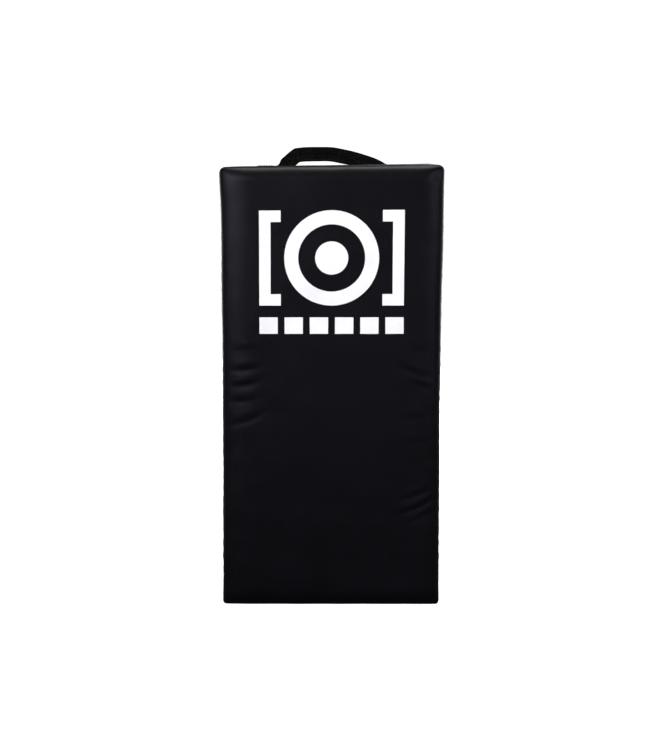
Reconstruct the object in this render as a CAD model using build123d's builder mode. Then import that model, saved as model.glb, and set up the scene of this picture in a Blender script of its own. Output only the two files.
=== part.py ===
from build123d import *
import os
from math import hypot

# Kick shield: a foam-filled pad of synthetic leather, held by handles on its back.
# Millimetres. +Z is up, the strike face looks along -Y and the holder stands at +Y.
# The origin is the centre of the bottom face, on which the shield stands.

# The padded body
WIDTH = 350.0
HEIGHT = 700.0
DEPTH = 150.0
CORNER_R = 8.0  # of the outline, seen from the front
FACE_CORNER_R = 18.0  # of the flat parts of the strike face and the back
SKIN = 1.5  # synthetic leather
FRONT_ROUND = 13.0  # depth from the front seam to the strike face
FRONT_INSET = 30.0  # from the outline in to the flat part of the strike face
BACK_ROUND = 5.0
BACK_INSET = 15.0

FRONT_Y = -DEPTH / 2
BACK_Y = DEPTH / 2
FRONT_SEAM_Y = FRONT_Y + FRONT_ROUND
BACK_SEAM_Y = BACK_Y - BACK_ROUND
MID_Z = HEIGHT / 2

# The foam
FOAM_GAP = 0.4  # between the foam and the skin
DENSE_FOAM = 25.0  # thickness of the strike sheet and of the backing sheet

# The print on the strike face
PRINT_Z = 556.5
PRINT_T = 0.3
TARGET_R = 74.5
RING_W = 22.0
BULL_R = 26.0
PRINT_HALF_W = 114.0
BRACKET_W = 18.0
BRACKET_ARM = 34.0
DASH_COUNT = 6
DASH_W = 29.0
DASH_H = 26.0
DASH_Z = 450.5

# The zip, across the back near the base
ZIP_Z = 60.0
SLOT_HALF = 160.0
SLOT_H = 13.0
TAPE_HALF = 158.0
TAPE_W = 13.0
TAPE_T = 0.8
COIL_HALF = 148.0
COIL_W = 2.4
COIL_T = 2.0
COIL_PART = 0.8  # from the zip's centre line to each coil
STOP_L = 2.4
PATCH_X = 161.5
PATCH_L = 21.0
PATCH_H = 22.0
PATCH_T = 1.2
GROOVE_H = 38.0  # room in the backing foam for the tapes and the slider
GROOVE_DEPTH = 5.0
RUN_GAP = 0.3  # clearance of the slider on the tapes and coils

# The zip's slider and pull
SLIDER_L = 11.0
SLIDER_W = 9.6
SLIDER_NOSE_W = 6.4
PLATE_T = 1.4
FLANGE_W = 0.6
POST_L = 3.6
POST_W = 1.0
BRIDGE_L = 8.0
BRIDGE_W = 2.0
BRIDGE_H = 3.2
BRIDGE_BAR = 1.0
PIN_R = 0.7
PIN_LIFT = 1.1  # the pin's axis above the slider's top plate
PULL_L = 27.0
PULL_W = 9.0
PULL_ARM_W = 1.4
PULL_ARM_L = 6.0
SLIDER_X = -142.0

# Webbing
WEB_T = 2.2
BAND_W = 40.0
BAND_T = 2.0
BAND_X = 100.0
BAND_LOW = 84.0
BAND_HIGH = 680.0

# The two folded handles, on top and behind
FOLD_W = 24.0  # width of the folded webbing
FOLD_T = 6.0
TAB_W = 45.0  # the same webbing, laid flat
TAB_L = 35.0
TAB_GAP = 1.5  # from a tab to the handle's foot
PIVOT_LIFT = 4.0  # the line that the handle swings about, above what it is sewn to
GRIP_Z = 450.0
GRIP_BOW = 39.0  # the middle of the grip's webbing above the line that it swings about

# The forearm strap
STRAP_W = 50.0
STRAP_Z = 240.0
STRAP_BASE = 84.0  # half the distance between its sewn ends
STRAP_TOP_HALF = 44.0
STRAP_BOW = 58.0
STRAP_PART_X = 75.5  # the strap swings between here and the same place on the other side
SLEEVE_T = 11.0
SLEEVE_W = 62.0
SLEEVE_HALF = 58.0
SLEEVE_GAP = 0.4

BANDS_Y = BACK_Y + BAND_T


def face_plane(y):
    """The plane at this depth that looks along -Y, with its origin at half the shield's height."""
    return Plane((0, y, MID_Z), x_dir=(1, 0, 0), z_dir=(0, -1, 0))


def pad_end(seam_y, face_y, inset, skin):
    """The tapered end of the pad, from a seam to a face, as it is under a skin this thick."""
    depth = abs(face_y - seam_y)
    outward = 1 if face_y > seam_y else -1
    wall = skin * hypot(inset, depth) / depth
    face_inset = inset * (depth - skin) / depth + wall
    with BuildPart() as block:
        with BuildSketch(face_plane(seam_y)):
            RectangleRounded(WIDTH - 2 * wall, HEIGHT - 2 * wall, CORNER_R)
        with BuildSketch(face_plane(face_y - outward * skin)):
            RectangleRounded(WIDTH - 2 * face_inset, HEIGHT - 2 * face_inset, FACE_CORNER_R)
        loft(ruled=True)
    return block.part


def save(part, name):
    """Labels a finished piece and writes it as its own STEP file."""
    part.label = name
    export_step(part, f"parts/{name}.step")


os.makedirs("parts", exist_ok=True)

# ---------------------------------------------------------------- cover

front_block = pad_end(FRONT_SEAM_Y, FRONT_Y, FRONT_INSET, 0)
front_hollow = pad_end(FRONT_SEAM_Y, FRONT_Y, FRONT_INSET, SKIN)

with BuildPart() as front_panel:
    add(front_block)
    add(front_hollow, mode=Mode.SUBTRACT)
save(front_panel.part, "front_panel")

# Each gusset is the part of the rim inside a wedge between two corners, so that they meet in mitres.
WEDGE = 20.0
gusset_corners = {
    "gusset_left": ((-1, -1), (-1, 1)),
    "gusset_right": ((1, -1), (1, 1)),
    "gusset_top": ((-1, 1), (1, 1)),
    "gusset_bottom": ((-1, -1), (1, -1)),
}
for name, corners in gusset_corners.items():
    outer = [(x * WIDTH / 2, z * MID_Z) for x, z in corners]
    inner = [(x * (WIDTH / 2 - WEDGE), z * (MID_Z - WEDGE)) for x, z in reversed(corners)]
    with BuildPart() as gusset:
        with BuildSketch(face_plane(FRONT_SEAM_Y)):
            RectangleRounded(WIDTH, HEIGHT, CORNER_R)
            RectangleRounded(WIDTH - 2 * SKIN, HEIGHT - 2 * SKIN, CORNER_R - SKIN, mode=Mode.SUBTRACT)
            Polygon(*outer, *inner, align=None, mode=Mode.INTERSECT)
        extrude(amount=FRONT_SEAM_Y - BACK_SEAM_Y)
    save(gusset.part, name)

# The back is one tapered panel, parted at the zip, with a slot along the parting for the coils.
back_block = pad_end(BACK_SEAM_Y, BACK_Y, BACK_INSET, 0)
back_hollow = pad_end(BACK_SEAM_Y, BACK_Y, BACK_INSET, SKIN)
for name, low, high in (("back_panel_lower", 0, ZIP_Z), ("back_panel_upper", ZIP_Z, HEIGHT)):
    with BuildPart() as back_panel:
        add(back_block)
        add(back_hollow, mode=Mode.SUBTRACT)
        with Locations((0, BACK_Y, (low + high) / 2)):
            Box(WIDTH, DEPTH, high - low, mode=Mode.INTERSECT)
        with Locations((0, BACK_Y, ZIP_Z)):
            Box(2 * SLOT_HALF, DEPTH, SLOT_H, mode=Mode.SUBTRACT)
    save(back_panel.part, name)

# ---------------------------------------------------------------- foam

FOAM_INSET = SKIN + FOAM_GAP
STRIKE_BACK_Y = FRONT_Y + FOAM_INSET + DENSE_FOAM
BACKING_FRONT_Y = BACK_Y - FOAM_INSET - DENSE_FOAM


def foam_slab(front_y, back_y):
    """A plain slab of foam between two depths, filling the cover's outline."""
    with BuildPart() as slab:
        with BuildSketch(face_plane(front_y)):
            RectangleRounded(WIDTH - 2 * FOAM_INSET, HEIGHT - 2 * FOAM_INSET, CORNER_R)
        extrude(amount=front_y - back_y)
    return slab.part


strike_end = pad_end(FRONT_SEAM_Y, FRONT_Y, FRONT_INSET, FOAM_INSET)
strike_slab = foam_slab(FRONT_SEAM_Y, STRIKE_BACK_Y)
with BuildPart() as strike_foam:
    add(strike_end)
    add(strike_slab)
save(strike_foam.part, "strike_foam")

core_slab = foam_slab(STRIKE_BACK_Y, BACKING_FRONT_Y)
with BuildPart() as core_foam:
    add(core_slab)
save(core_foam.part, "core_foam")

backing_end = pad_end(BACK_SEAM_Y, BACK_Y, BACK_INSET, FOAM_INSET)
backing_slab = foam_slab(BACKING_FRONT_Y, BACK_SEAM_Y)
with BuildPart() as backing_foam:
    add(backing_end)
    add(backing_slab)
    with Locations((0, BACK_Y - FOAM_INSET, ZIP_Z)):
        Box(2 * (TAPE_HALF + GROOVE_DEPTH), 2 * GROOVE_DEPTH, GROOVE_H, mode=Mode.SUBTRACT)
save(backing_foam.part, "backing_foam")

# ---------------------------------------------------------------- print

# A ring round a disc, a bracket on each side, and a row of dashes below.
with BuildPart() as strike_print:
    with BuildSketch(Plane((0, FRONT_Y, 0), x_dir=(1, 0, 0), z_dir=(0, -1, 0))):
        with Locations((0, PRINT_Z)):
            Circle(TARGET_R)
            Circle(TARGET_R - RING_W, mode=Mode.SUBTRACT)
            Circle(BULL_R)
        for side in (-1, 1):
            with Locations((side * (PRINT_HALF_W - BRACKET_W / 2), PRINT_Z)):
                Rectangle(BRACKET_W, 2 * TARGET_R)
            for arm_z in (PRINT_Z - TARGET_R + BRACKET_W / 2, PRINT_Z + TARGET_R - BRACKET_W / 2):
                with Locations((side * (PRINT_HALF_W - BRACKET_ARM / 2), arm_z)):
                    Rectangle(BRACKET_ARM, BRACKET_W)
        with Locations((0, DASH_Z)):
            with GridLocations((2 * PRINT_HALF_W - DASH_W) / (DASH_COUNT - 1), 1, DASH_COUNT, 1):
                Rectangle(DASH_W, DASH_H)
    extrude(amount=PRINT_T)
save(strike_print.part, "strike_print")

# ---------------------------------------------------------------- zip

TAPE_Y = BACK_Y - SKIN  # the tapes' outer faces, against the inside of the back panels
for name, side in (("upper", 1), ("lower", -1)):
    with BuildPart() as zip_tape:
        with Locations((0, TAPE_Y - TAPE_T / 2, ZIP_Z + side * (COIL_PART + TAPE_W / 2))):
            Box(2 * TAPE_HALF, TAPE_T, TAPE_W)
    save(zip_tape.part, f"zip_tape_{name}")

    with BuildPart() as zip_coil:
        with Locations((0, TAPE_Y + COIL_T / 2, ZIP_Z + side * (COIL_PART + COIL_W / 2))):
            Box(2 * COIL_HALF, COIL_T, COIL_W)
        fillet(zip_coil.edges().filter_by(Axis.X).group_by(Axis.Y)[-1], radius=COIL_T / 4)
    save(zip_coil.part, f"zip_coil_{name}")

with BuildPart() as zip_end_stops:
    for end in (-1, 1):
        for side in (-1, 1):
            stop_x = end * (COIL_HALF + STOP_L / 2)
            with Locations((stop_x, TAPE_Y + COIL_T / 2, ZIP_Z + side * (COIL_PART + COIL_W / 2))):
                Box(STOP_L, COIL_T, COIL_W)
save(zip_end_stops.part, "zip_end_stops")

for name, side in (("left", -1), ("right", 1)):
    with BuildPart() as zip_patch:
        with BuildSketch(Plane((0, BACK_Y, ZIP_Z), x_dir=(1, 0, 0), z_dir=(0, -1, 0))):
            with Locations((side * PATCH_X, 0)):
                RectangleRounded(PATCH_L, PATCH_H, SKIN)
        extrude(amount=-PATCH_T)
    save(zip_patch.part, f"zip_patch_{name}")

# The slider: two plates round the coils, a post that parts them and a bridge for the pull.
LOWER_Y = TAPE_Y - TAPE_T - RUN_GAP  # the lower plate's face beside the tapes
UPPER_Y = TAPE_Y + COIL_T + RUN_GAP  # the upper plate's face over the coils
TOP_Y = UPPER_Y + PLATE_T
half_l, half_w, nose = SLIDER_L / 2, SLIDER_W / 2, SLIDER_NOSE_W / 2
plate_outline = (
    (-half_l, -half_w),
    (0, -half_w),
    (half_l, -nose),
    (half_l, nose),
    (0, half_w),
    (-half_l, half_w),
)


def slider_plane(y):
    """The plane at this depth that looks along +Y, with its origin on the slider's centre."""
    return Plane((SLIDER_X, y, ZIP_Z), x_dir=(-1, 0, 0), z_dir=(0, 1, 0))


with BuildPart() as zip_slider:
    for inner_y in (LOWER_Y - PLATE_T, UPPER_Y):
        with BuildSketch(slider_plane(inner_y)):
            Polygon(*plate_outline, align=None)
        extrude(amount=PLATE_T)
    with BuildSketch(slider_plane(LOWER_Y)):
        with Locations((POST_L - half_l, 0)):
            Rectangle(POST_L, POST_W)
    extrude(amount=UPPER_Y - LOWER_Y)
    with BuildSketch(slider_plane(UPPER_Y)):
        Polygon(*plate_outline, align=None)
        offset(amount=-FLANGE_W, mode=Mode.SUBTRACT)
        Rectangle(SLIDER_L, SLIDER_W - 4 * FLANGE_W, mode=Mode.SUBTRACT)
    extrude(amount=-COIL_T / 2)
    with BuildSketch(Plane.XY.offset(ZIP_Z)):
        with Locations((SLIDER_X, TOP_Y + BRIDGE_H / 2)):
            Rectangle(BRIDGE_L, BRIDGE_H)
        with Locations((SLIDER_X, TOP_Y + (BRIDGE_H - BRIDGE_BAR) / 2)):
            Rectangle(BRIDGE_L - 2 * BRIDGE_BAR, BRIDGE_H - BRIDGE_BAR, mode=Mode.SUBTRACT)
    extrude(amount=BRIDGE_W / 2, both=True)
save(zip_slider.part, "zip_slider")

# The pull lies along +X, on a pin that runs through the bridge.
PIN_Y = TOP_Y + PIN_LIFT
ARM_Z = BRIDGE_W / 2 + 2 * RUN_GAP + PULL_ARM_W / 2
with BuildPart() as zip_pull:
    with BuildSketch(Plane((SLIDER_X, PIN_Y, ZIP_Z), x_dir=(1, 0, 0), z_dir=(0, 1, 0))):
        for side in (-1, 1):
            with Locations((PULL_ARM_L / 2, side * ARM_Z)):
                Rectangle(PULL_ARM_L, PULL_ARM_W)
        with Locations(((PULL_ARM_L + PULL_L) / 2, 0)):
            RectangleRounded(PULL_L - PULL_ARM_L, PULL_W, PULL_W / 4)
        with Locations((PULL_L - PULL_W / 2, 0)):
            Circle(PULL_W / 5, mode=Mode.SUBTRACT)
    extrude(amount=PIN_R, both=True)
    with BuildSketch(Plane.XY.offset(ZIP_Z)):
        with Locations((SLIDER_X, PIN_Y)):
            Circle(PIN_R)
    extrude(amount=ARM_Z + PULL_ARM_W / 2, both=True)
save(zip_pull.part, "zip_pull")

# ---------------------------------------------------------------- webbing on the back

for name, side in (("left", -1), ("right", 1)):
    with BuildPart() as back_band:
        with Locations((side * BAND_X, BACK_Y + BAND_T / 2, (BAND_LOW + BAND_HIGH) / 2)):
            Box(BAND_W, BAND_T, BAND_HIGH - BAND_LOW)
    save(back_band.part, f"back_band_{name}")


def folded_handle(plane, outline, feet):
    """A handle of folded webbing. Its outline, as points with the radius of each corner, lies in
    this plane, whose x axis is the line that the handle swings about. Each foot is a round
    stretch of the webbing on that line."""
    with BuildPart() as handle:
        with BuildSketch(plane):
            with BuildLine():
                points = [(x, y) for x, y, radius in outline]
                radii = [radius for x, y, radius in outline]
                FilletPolyline(*points, radius=radii, close=True)
            make_face()
        extrude(amount=FOLD_T / 2, both=True)
        for start, end in feet:
            with BuildSketch(Plane(plane.from_local_coords((start, 0, 0)), z_dir=plane.x_dir)):
                Circle(FOLD_T / 2)
            extrude(amount=end - start)
    return handle.part


# The top handle stands up steeply on the left and slopes down on the right.
TOP_FEET = ((-83, -59), (10, 87))
TOP_OUTLINE = (
    (-83, 0, 0),
    (-81.5, 7, 8),
    (-59, 26.5, 14),
    (6, 26.5, 30),
    (50, 16.5, 40),
    (87, 0, 0),
    (10, 0, 0),
    (-10, 4.5, 20),
    (-57.5, 4.5, 3),
    (-59, 0, 0),
)
top_plane = Plane((0, 0, HEIGHT + PIVOT_LIFT), x_dir=(1, 0, 0), z_dir=(0, -1, 0))
top_handle = folded_handle(top_plane, TOP_OUTLINE, TOP_FEET)
save(top_handle, "top_handle")

for name, side, foot_x in (("left", -1, TOP_FEET[0][0]), ("right", 1, TOP_FEET[1][1])):
    with BuildPart() as top_tab:
        with Locations((foot_x + side * (TAB_GAP + TAB_L / 2), 0, HEIGHT + WEB_T / 2)):
            Box(TAB_L, TAB_W, WEB_T)
    save(top_tab.part, f"top_handle_tab_{name}")

# The hand grip is the same on both sides, and bows out far enough for a hand.
GRIP_FEET = ((-82.5, -58.5), (58.5, 82.5))
GRIP_OUTLINE = (
    (-82.5, 0, 0),
    (-66, GRIP_BOW + FOLD_W / 2, 26),
    (66, GRIP_BOW + FOLD_W / 2, 26),
    (82.5, 0, 0),
    (58.5, 0, 0),
    (47, GRIP_BOW - FOLD_W / 2, 8),
    (-47, GRIP_BOW - FOLD_W / 2, 8),
    (-58.5, 0, 0),
)
grip_plane = Plane((0, BANDS_Y + PIVOT_LIFT, GRIP_Z), x_dir=(1, 0, 0), z_dir=(0, 0, 1))
hand_grip = folded_handle(grip_plane, GRIP_OUTLINE, GRIP_FEET)
save(hand_grip, "hand_grip")

for name, side, foot_x in (("left", -1, GRIP_FEET[0][0]), ("right", 1, GRIP_FEET[1][1])):
    with BuildPart() as grip_tab:
        with Locations((foot_x + side * (TAB_GAP + TAB_L / 2), BANDS_Y + WEB_T / 2, GRIP_Z)):
            Box(TAB_L, WEB_T, TAB_W)
    save(grip_tab.part, f"hand_grip_tab_{name}")

# ---------------------------------------------------------------- forearm strap

STRAP_LOW_Y = BANDS_Y + WEB_T / 2
STRAP_TOP_Y = BANDS_Y + STRAP_BOW
STRAP_ROUTE = (
    (-STRAP_BASE - TAB_L, STRAP_LOW_Y),
    (-STRAP_BASE, STRAP_LOW_Y),
    (-STRAP_TOP_HALF, STRAP_TOP_Y),
    (STRAP_TOP_HALF, STRAP_TOP_Y),
    (STRAP_BASE, STRAP_LOW_Y),
    (STRAP_BASE + TAB_L, STRAP_LOW_Y),
)
STRAP_RADII = (8, 34, 34, 8)


def strap_loop(thickness, width):
    """The whole loop of the forearm strap, from one sewn end to the other."""
    with BuildPart() as loop:
        with BuildSketch(Plane.XY.offset(STRAP_Z)):
            with BuildLine():
                FilletPolyline(*STRAP_ROUTE, radius=STRAP_RADII)
            trace(line_width=thickness)
        extrude(amount=width / 2, both=True)
    return loop.part


strap_whole = strap_loop(WEB_T, STRAP_W)
for name, side in (("left", -1), ("right", 1)):
    with BuildPart() as strap_tab:
        add(strap_whole)
        with Locations((side * (STRAP_PART_X + RUN_GAP + WIDTH / 2), BACK_Y, STRAP_Z)):
            Box(WIDTH, DEPTH, STRAP_W, mode=Mode.INTERSECT)
    save(strap_tab.part, f"forearm_strap_tab_{name}")

with BuildPart() as forearm_strap:
    add(strap_whole)
    with Locations((0, BACK_Y, STRAP_Z)):
        Box(2 * STRAP_PART_X, DEPTH, STRAP_W, mode=Mode.INTERSECT)
save(forearm_strap.part, "forearm_strap")

sleeve_whole = strap_loop(SLEEVE_T, SLEEVE_W)
strap_room = strap_loop(WEB_T + 2 * SLEEVE_GAP, STRAP_W + 2 * SLEEVE_GAP)
with BuildPart() as forearm_sleeve:
    add(sleeve_whole)
    add(strap_room, mode=Mode.SUBTRACT)
    with Locations((0, BACK_Y, STRAP_Z)):
        Box(2 * SLEEVE_HALF, DEPTH, SLEEVE_W, mode=Mode.INTERSECT)
save(forearm_sleeve.part, "forearm_sleeve")
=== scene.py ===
from math import ceil, cos, hypot, pi, radians, sin

import bmesh
import bpy
import numpy as np
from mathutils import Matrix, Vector


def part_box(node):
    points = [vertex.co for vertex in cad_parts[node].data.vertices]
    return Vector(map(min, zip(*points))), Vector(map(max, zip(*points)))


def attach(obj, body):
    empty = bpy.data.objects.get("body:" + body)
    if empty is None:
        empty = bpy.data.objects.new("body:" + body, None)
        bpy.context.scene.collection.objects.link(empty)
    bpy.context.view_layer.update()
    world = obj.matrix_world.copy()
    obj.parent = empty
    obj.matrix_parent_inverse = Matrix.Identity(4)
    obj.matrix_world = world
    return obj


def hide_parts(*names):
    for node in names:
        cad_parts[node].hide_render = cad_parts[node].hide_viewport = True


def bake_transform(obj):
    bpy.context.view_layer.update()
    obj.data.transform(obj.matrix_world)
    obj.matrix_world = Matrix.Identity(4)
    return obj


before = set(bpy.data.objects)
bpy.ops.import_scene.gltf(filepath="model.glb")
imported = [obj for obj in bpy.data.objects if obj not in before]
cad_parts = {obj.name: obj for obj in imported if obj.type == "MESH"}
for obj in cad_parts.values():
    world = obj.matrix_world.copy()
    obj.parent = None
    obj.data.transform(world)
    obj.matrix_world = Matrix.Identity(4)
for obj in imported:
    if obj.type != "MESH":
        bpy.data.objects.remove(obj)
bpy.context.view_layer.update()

# A kick shield: foam blocks in a sewn cover of synthetic leather, with webbing handles, a padded
# forearm strap and a zip behind. The frame is in metres. The shapes here are worked out in
# millimetres, and mesh_piece turns them into metres.

MM = 0.001


def box_mm(node):
    """The lowest and highest corner of a CAD node, in millimetres."""
    low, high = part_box(node)
    return np.array(low) / MM, np.array(high) / MM


# ---------------------------------------------------------------- places, from the frame

front_low, front_high = box_mm("front_panel")
back_low, back_high = box_mm("back_panel_upper")
HALF_W = front_high[0]
HEIGHT = front_high[2]
MID_Z = HEIGHT / 2
FACE_Y = front_low[1]
FRONT_SEAM_Y = front_high[1]
BACK_SEAM_Y = back_low[1]
BACK_Y = back_high[1]
ZIP_Z = back_low[2]
WEB_T = 2.2

# ---------------------------------------------------------------- meshes


def mesh_piece(name, points, faces, uvs=None, sharp=None):
    """A new closed mesh from points in millimetres, with an optional UV, in millimetres, for each point."""
    mesh = bpy.data.meshes.new(name)
    mesh.from_pydata((np.asarray(points, float) * MM).tolist(), [], faces)
    if uvs is not None:
        corners = np.zeros(len(mesh.loops), np.int32)
        mesh.loops.foreach_get("vertex_index", corners)
        layer = mesh.uv_layers.new(name="weave")
        layer.data.foreach_set("uv", np.asarray(uvs, np.float32)[corners].ravel())
    tidy = bmesh.new()
    tidy.from_mesh(mesh)
    bmesh.ops.recalc_face_normals(tidy, faces=tidy.faces)
    tidy.to_mesh(mesh)
    tidy.free()
    mesh.shade_smooth()
    if sharp is not None:
        mesh.set_sharp_from_angle(angle=radians(sharp))
    piece = bpy.data.objects.new(name, mesh)
    bpy.context.scene.collection.objects.link(piece)
    return piece


def quads(index):
    """The four-sided faces between the numbered points of a grid."""
    corners = [index[:-1, :-1], index[1:, :-1], index[1:, 1:], index[:-1, 1:]]
    return np.stack(corners, axis=-1).reshape(-1, 4)


def wrapped(index):
    """A grid of point numbers with its first column once more after its last."""
    return np.concatenate([index, index[:, :1]], axis=1)


def slab_faces(rows, cols, start=0):
    """The faces of a closed piece between two grids of points, numbered one grid after the other."""
    index = start + np.arange(rows * cols).reshape(rows, cols)
    under = rows * cols
    corners = quads(index)
    border = np.concatenate([index[0, :-1], index[:-1, -1], index[-1, :0:-1], index[:0:-1, 0]])
    following = np.roll(border, -1)
    walls = np.stack([border, following, following + under, border + under], axis=-1)
    return np.concatenate([corners, corners[:, ::-1] + under, walls]).tolist()


def slab(name, outer, inner, uvs=None, sharp=None):
    """A closed piece between two grids of points, each rows by columns."""
    rows, cols = outer.shape[:2]
    points = np.concatenate([outer.reshape(-1, 3), inner.reshape(-1, 3)])
    if uvs is not None:
        uvs = np.concatenate([uvs.reshape(-1, 2)] * 2)
    return mesh_piece(name, points, slab_faces(rows, cols), uvs, sharp)


def slabs(name, pairs, sharp=None):
    """Several closed pieces, each between two grids of points, as one mesh."""
    points, faces, start = [], [], 0
    for outer, inner in pairs:
        rows, cols = outer.shape[:2]
        points += [outer.reshape(-1, 3), inner.reshape(-1, 3)]
        faces += slab_faces(rows, cols, start)
        start += 2 * rows * cols
    return mesh_piece(name, np.concatenate(points), faces, sharp=sharp)


def loft(name, rings, closed=False, sharp=None):
    """A closed piece through rings of points. A closed one's last ring joins its first."""
    count, sides = rings.shape[:2]
    index = np.arange(count * sides).reshape(count, sides)
    if closed:
        index = np.concatenate([index, index[:1]])
    faces = quads(wrapped(index)).tolist()
    if not closed:
        faces += [index[0].tolist(), index[-1, ::-1].tolist()]
    return mesh_piece(name, rings.reshape(-1, 3), faces, sharp=sharp)


def unit(vectors):
    return vectors / np.maximum(np.linalg.norm(vectors, axis=-1, keepdims=True), 1e-9)


def grid_normals(points):
    """The way the surface through a grid of points looks at each."""
    return unit(np.cross(np.gradient(points, axis=0), np.gradient(points, axis=1)))


def smoothstep(value, start, end):
    t = np.clip((value - start) / (end - start), 0, 1)
    return t * t * (3 - 2 * t)


def bump_at(value, middle, width):
    return np.exp(-(((value - middle) / width) ** 2))


def line_lengths(line):
    """How far along a line on a plane each of its points is."""
    return np.concatenate([[0], np.cumsum(np.hypot(*np.diff(line, axis=0).T))])


def ripple(a, b, pitch, seed):
    """A soft, irregular swell from -1 to 1 over a surface, the same each run."""
    rng = np.random.default_rng(seed)
    total = np.zeros(np.broadcast(a, b).shape)
    for turn in range(6):
        angle = rng.uniform(0, pi)
        step = pitch * rng.uniform(0.7, 1.6)
        phase = rng.uniform(0, 2 * pi)
        total = total + np.sin((a * cos(angle) + b * sin(angle)) * 2 * pi / step + phase)
    return total / 6


# ---------------------------------------------------------------- stitches

STITCH_L = 3.0
STITCH_PITCH = 3.8
STITCH_R = 0.42
THREAD_SIDES = 6
# A stitch from end to end: the place along it, its width and how far it stands out.
THREAD_PROFILE = (
    (-1.0, 0.25, -0.35),
    (-0.7, 0.8, 0.05),
    (0.0, 1.0, 0.22),
    (0.7, 0.8, 0.05),
    (1.0, 0.25, -0.35),
)


def read_line(values, along, places):
    """A line's values at these places along it, each between its two neighbours."""
    return np.stack([np.interp(places, along, values[:, k]) for k in range(3)], axis=1)


def stitch_places(line, normals):
    """The middle, direction and normal of each stitch along a line of points."""
    steps = np.linalg.norm(np.diff(line, axis=0), axis=1)
    along = np.concatenate([[0], np.cumsum(steps)])
    count = max(1, int(round(along[-1] / STITCH_PITCH)))
    middles = (np.arange(count) + 0.5) * along[-1] / count
    ahead, behind = (read_line(line, along, middles + step) for step in (0.5, -0.5))
    return read_line(line, along, middles), unit(ahead - behind), unit(read_line(normals, along, middles))


def thread_piece(name, runs, radius=STITCH_R, length=STITCH_L):
    """Every stitch of these runs as one mesh. A run is a line of points and its normals."""
    centre, tangent, normal = (np.concatenate(part) for part in zip(*[stitch_places(*run) for run in runs]))
    side = unit(np.cross(tangent, normal))
    normal = unit(np.cross(side, tangent))
    rings = []
    for place, width, lift in THREAD_PROFILE:
        for turn in range(THREAD_SIDES):
            angle = 2 * pi * turn / THREAD_SIDES
            offset = tangent * place * length / 2 + normal * (lift + radius * width * cos(angle))
            rings.append(centre + offset + side * radius * width * sin(angle))
    points = np.stack(rings, axis=1).reshape(-1, 3)
    size = len(THREAD_PROFILE) * THREAD_SIDES
    last = size - THREAD_SIDES
    one = []
    for ring in range(len(THREAD_PROFILE) - 1):
        for turn in range(THREAD_SIDES):
            here, beside = ring * THREAD_SIDES + turn, ring * THREAD_SIDES + (turn + 1) % THREAD_SIDES
            one.append((here, beside, beside + THREAD_SIDES, here + THREAD_SIDES))
    ends = [tuple(range(THREAD_SIDES))[::-1], tuple(range(last, size))]
    faces = [tuple(start + k for k in face) for start in range(0, len(points), size) for face in one + ends]
    return mesh_piece(name, points, faces)


# ---------------------------------------------------------------- materials


class Shader:
    """A material made of nodes, with short calls for the nodes used here."""

    def __init__(self, name):
        self.material = bpy.data.materials.new(name)
        self.material.use_nodes = True
        self.tree = self.material.node_tree
        self.bsdf = self.tree.nodes["Principled BSDF"]

    def put(self, socket, value):
        if isinstance(value, bpy.types.NodeSocket):
            self.tree.links.new(value, socket)
        else:
            socket.default_value = value

    def add(self, kind, settings=(), inputs=()):
        node = self.tree.nodes.new(kind)
        for key, value in dict(settings).items():
            setattr(node, key, value)
        for key, value in dict(inputs).items():
            self.put(node.inputs[key], value)
        return node

    def set(self, **values):
        for key, value in values.items():
            self.put(self.bsdf.inputs[key.replace("_", " ")], value)

    def place(self):
        return self.add("ShaderNodeTexCoord").outputs["Object"]

    def weave_place(self):
        uv = self.add("ShaderNodeUVMap", {"uv_map": "weave"}).outputs["UV"]
        parts = self.add("ShaderNodeSeparateXYZ", inputs={0: uv})
        return parts.outputs[0], parts.outputs[1]

    def math(self, operation, *values):
        return self.add("ShaderNodeMath", {"operation": operation}, dict(enumerate(values))).outputs[0]

    def noise(self, place, size, detail=3.0, roughness=0.55):
        """Noise with features about this many millimetres across."""
        inputs = {"Vector": place, "Scale": 1 / (size * MM), "Detail": detail, "Roughness": roughness}
        return self.add("ShaderNodeTexNoise", inputs=inputs).outputs["Fac"]

    def cells(self, place, size, feature="DISTANCE_TO_EDGE"):
        inputs = {"Vector": place, "Scale": 1 / (size * MM)}
        return self.add("ShaderNodeTexVoronoi", {"feature": feature}, inputs).outputs["Distance"]

    def span(self, value, low, high, new_low=0.0, new_high=1.0):
        """The value's range from low to high, stretched to a new one and kept inside it."""
        inputs = {0: value, 1: low, 2: high, 3: new_low, 4: new_high}
        return self.add("ShaderNodeMapRange", {"clamp": True}, inputs).outputs[0]

    def mix(self, factor, first, second):
        node = self.add("ShaderNodeMix", {"data_type": "RGBA"})
        self.put(node.inputs[0], factor)
        self.put(node.inputs[6], first)
        self.put(node.inputs[7], second)
        return node.outputs[2]

    def bump(self, height, depth, strength=1.0, below=None):
        inputs = {"Strength": strength, "Distance": depth * MM, "Height": height}
        if below is not None:
            inputs["Normal"] = below
        return self.add("ShaderNodeBump", inputs=inputs).outputs["Normal"]


def grey(value, blue=1.0):
    """A grey, or for a larger number of blue a black with a violet cast."""
    return (value, value * (1.1 - 0.1 * blue), value * blue, 1.0)


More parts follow.
